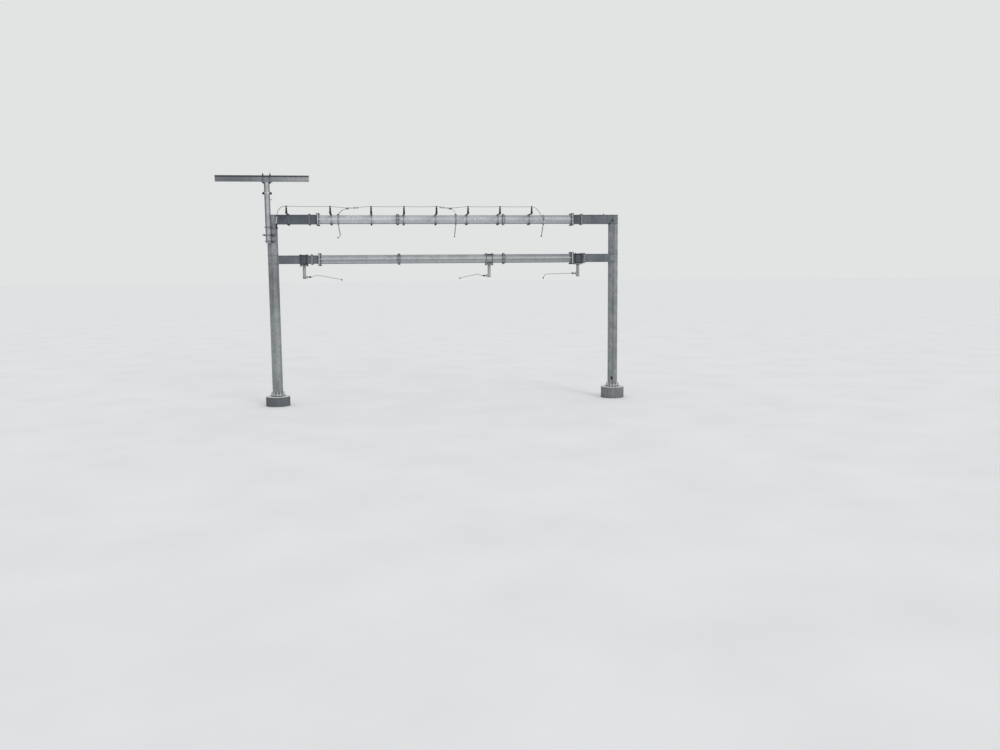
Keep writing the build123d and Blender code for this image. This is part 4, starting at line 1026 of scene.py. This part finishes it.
def drop_clamp_nuts():
    """Nuts above and below the plates that clamp the drop posts."""
    nuts = Mesh()
    rod_x, rod_y = DROP_CLAMP_RODS
    fittings = (DROP_CLAMP_WASHER, DROP_CLAMP_NUT)
    for name, (x, _, _) in DROP_POSTS.items():
        half = (BEAM_FLAT if name == "middle" else LOWER_ARM_HEIGHT) / 2
        top = LOWER + half + DROP_CLAMP_PLATE
        bottom = LOWER - half - DROP_CLAMP_BOX - DROP_CLAMP_PLATE
        for dx in (-rod_x, rod_x):
            for y in (-rod_y, rod_y):
                nuts.washer_and_nut((x + dx, y, top), UP, *fittings, dx * DROP_CLAMP_TURNS[0])
                nuts.washer_and_nut((x + dx, y, bottom), DOWN, *fittings, y * DROP_CLAMP_TURNS[1])
    nuts.finish("drop_clamp_nuts", MATERIALS["dark_iron"])


def bracket_nuts():
    """Nuts of the insulator brackets, above the bar and below the tie."""
    nuts = Mesh()
    for x in INSULATORS:
        half = upper_half_height(x)
        for y in (-BRACKET_ROD, BRACKET_ROD):
            nuts.nut((x, y, UPPER + half + BRACKET_BAR), UP, *BRACKET_NUT, turn=x)
            nuts.nut((x, y, UPPER - half - BRACKET_TIE), DOWN, *BRACKET_NUT, turn=x)
        nuts.nut((x, STAND_OFF, UPPER + half), DOWN, *STAND_OFF_NUT, turn=x)
        nuts.stud((x, STAND_OFF, UPPER + half - STAND_OFF_NUT[1]), DOWN, *STAND_OFF_THREAD)
    nuts.finish("bracket_nuts", MATERIALS["dark_iron"])


def cable_clamp_bolts():
    """Keeper bolts on top of the feeder cable's clamps."""
    bolts = Mesh()
    for x in INSULATORS:
        seat = UPPER + upper_half_height(x) + BRACKET_BAR + POST_CAP[0] + KEEPER_SEAT
        for dx in (-KEEPER_HALF_LENGTH, KEEPER_HALF_LENGTH):
            for side, spin in KEEPER_TURNS:
                place = (x + dx, STAND_OFF + side * KEEPER_HALF_WIDTH, seat)
                bolts.nut(place, UP, *KEEPER_NUT, turn=dx * spin)
    bolts.finish("cable_clamp_bolts", MATERIALS["fitting_steel"])


def crossarm_nuts():
    """Nuts on the rods that clamp the cross-arm to the post."""
    nuts = Mesh()
    x, y = POST_XY
    rod_x, rod_y = SADDLE_RODS
    top = CROSSARM_TOP + SADDLE_TOP
    bottom = CROSSARM_BOTTOM - SADDLE_PLATE
    for dx in (-rod_x, rod_x):
        for dy in (-rod_y, rod_y):
            nuts.washer_and_nut((x + dx, y + dy, top), UP, SADDLE_TOP_WASHER, SADDLE_TOP_NUT)
            nuts.washer_and_nut((x + dx, y + dy, bottom), DOWN, SADDLE_FOOT_WASHER, SADDLE_FOOT_NUT)
    nuts.finish("crossarm_nuts", MATERIALS["dark_iron"])


flange_bolts()
beam_welds()
column_welds()
anchor_lock_nuts()
arm_clamp_nuts()
extension_clamp_nuts()
bond_strip()
stay_shackles()
right_corner_bolts()
swivel_pin_nuts()
drop_clamp_nuts()
bracket_nuts()
cable_clamp_bolts()
crossarm_nuts()

# Floor, sky and lamp
FLOOR_CENTRE = (4.0, 200.0, 0)
FLOOR_RADIUS = 900.0
FLOOR_BOTTOM = -0.02
FLOOR_TOP = -0.001
FLOOR_SIDES = 96
FLOOR_TONES = ((0.765, 0.76, 0.75), (0.805, 0.80, 0.79))
SKY_LIGHT = (0.94, 0.97, 1.0, 1)
SKY_LIGHT_STRENGTH = 0.85
SKY_SEEN = (0.76, 0.775, 0.775, 1)
SUN_COLOUR = (1.0, 0.985, 0.965)
SUN_STRENGTH = 1.2
SUN_WIDTH = radians(24)
SUN_TILT = radians(70)
SUN_TURN = radians(28)


def floor():
    """Wide pale floor just below the footings."""
    disc = Mesh()
    rim = [(FLOOR_RADIUS, FLOOR_BOTTOM), (FLOOR_RADIUS, FLOOR_TOP)]
    disc.lathe(FLOOR_CENTRE, UP, rim, FLOOR_SIDES)
    mesh = bpy.data.meshes.new("floor")
    mesh.from_pydata(disc.points, [], disc.faces)
    n = Nodes("pale_floor")
    tone = n.noise(0.35, 3, 0.5)
    colour = n.mix(n.ramp(tone, 0.3, 0.7), *FLOOR_TONES)
    mesh.materials.append(n.done(colour, n.ramp(tone, 0.3, 0.7, 0.85, 0.95), 0.0))
    obj = bpy.data.objects.new("floor", mesh)
    bpy.context.scene.collection.objects.link(obj)


def sky():
    """Soft sky light, and the pale sky that is seen directly and in gloss."""
    world = bpy.data.worlds.new("sky")
    bpy.context.scene.world = world
    world.use_nodes = True
    tree = world.node_tree
    tree.nodes.clear()
    output = tree.nodes.new("ShaderNodeOutputWorld")
    light = tree.nodes.new("ShaderNodeBackground")
    light.inputs["Color"].default_value = SKY_LIGHT
    light.inputs["Strength"].default_value = SKY_LIGHT_STRENGTH
    seen = tree.nodes.new("ShaderNodeBackground")
    seen.inputs["Color"].default_value = SKY_SEEN
    seen.inputs["Strength"].default_value = 1.0
    path = tree.nodes.new("ShaderNodeLightPath")
    pick = tree.nodes.new("ShaderNodeMixShader")
    either = tree.nodes.new("ShaderNodeMath")
    either.operation = "MAXIMUM"
    tree.links.new(path.outputs["Is Camera Ray"], either.inputs[0])
    tree.links.new(path.outputs["Is Glossy Ray"], either.inputs[1])
    tree.links.new(either.outputs[0], pick.inputs[0])
    tree.links.new(light.outputs[0], pick.inputs[1])
    tree.links.new(seen.outputs[0], pick.inputs[2])
    tree.links.new(pick.outputs[0], output.inputs[0])


def sun():
    """One soft lamp."""
    data = bpy.data.lights.new("soft_sun", "SUN")
    data.energy = SUN_STRENGTH
    data.angle = SUN_WIDTH
    data.color = SUN_COLOUR
    lamp = bpy.data.objects.new("soft_sun", data)
    lamp.rotation_euler = (SUN_TILT, 0, SUN_TURN)
    bpy.context.scene.collection.objects.link(lamp)


def camera():
    """The photograph's camera."""
    right = Vector((cos(CAMERA_YAW), -sin(CAMERA_YAW), 0))
    ahead = Vector((sin(CAMERA_YAW), cos(CAMERA_YAW), 0))
    up = Vector(UP)
    forward = ahead * cos(CAMERA_PITCH) - up * sin(CAMERA_PITCH)
    top = ahead * sin(CAMERA_PITCH) + up * cos(CAMERA_PITCH)
    image_right = right * cos(CAMERA_ROLL) - top * sin(CAMERA_ROLL)
    image_up = right * sin(CAMERA_ROLL) + top * cos(CAMERA_ROLL)
    data = bpy.data.cameras.new("camera")
    data.sensor_fit = "HORIZONTAL"
    data.sensor_width = SENSOR
    data.lens = SENSOR * CAMERA_FOCAL_PIXELS / PHOTO_WIDTH
    data.clip_start = CAMERA_NEAR
    data.clip_end = CAMERA_FAR
    obj = bpy.data.objects.new("camera", data)
    turn = Matrix((image_right, image_up, -forward)).transposed()
    obj.matrix_world = Matrix.Translation(CAMERA_POSITION) @ turn.to_4x4()
    bpy.context.scene.collection.objects.link(obj)
    bpy.context.scene.camera = obj


floor()
sky()
sun()
camera()
bpy.context.scene.view_settings.view_transform = "Standard"
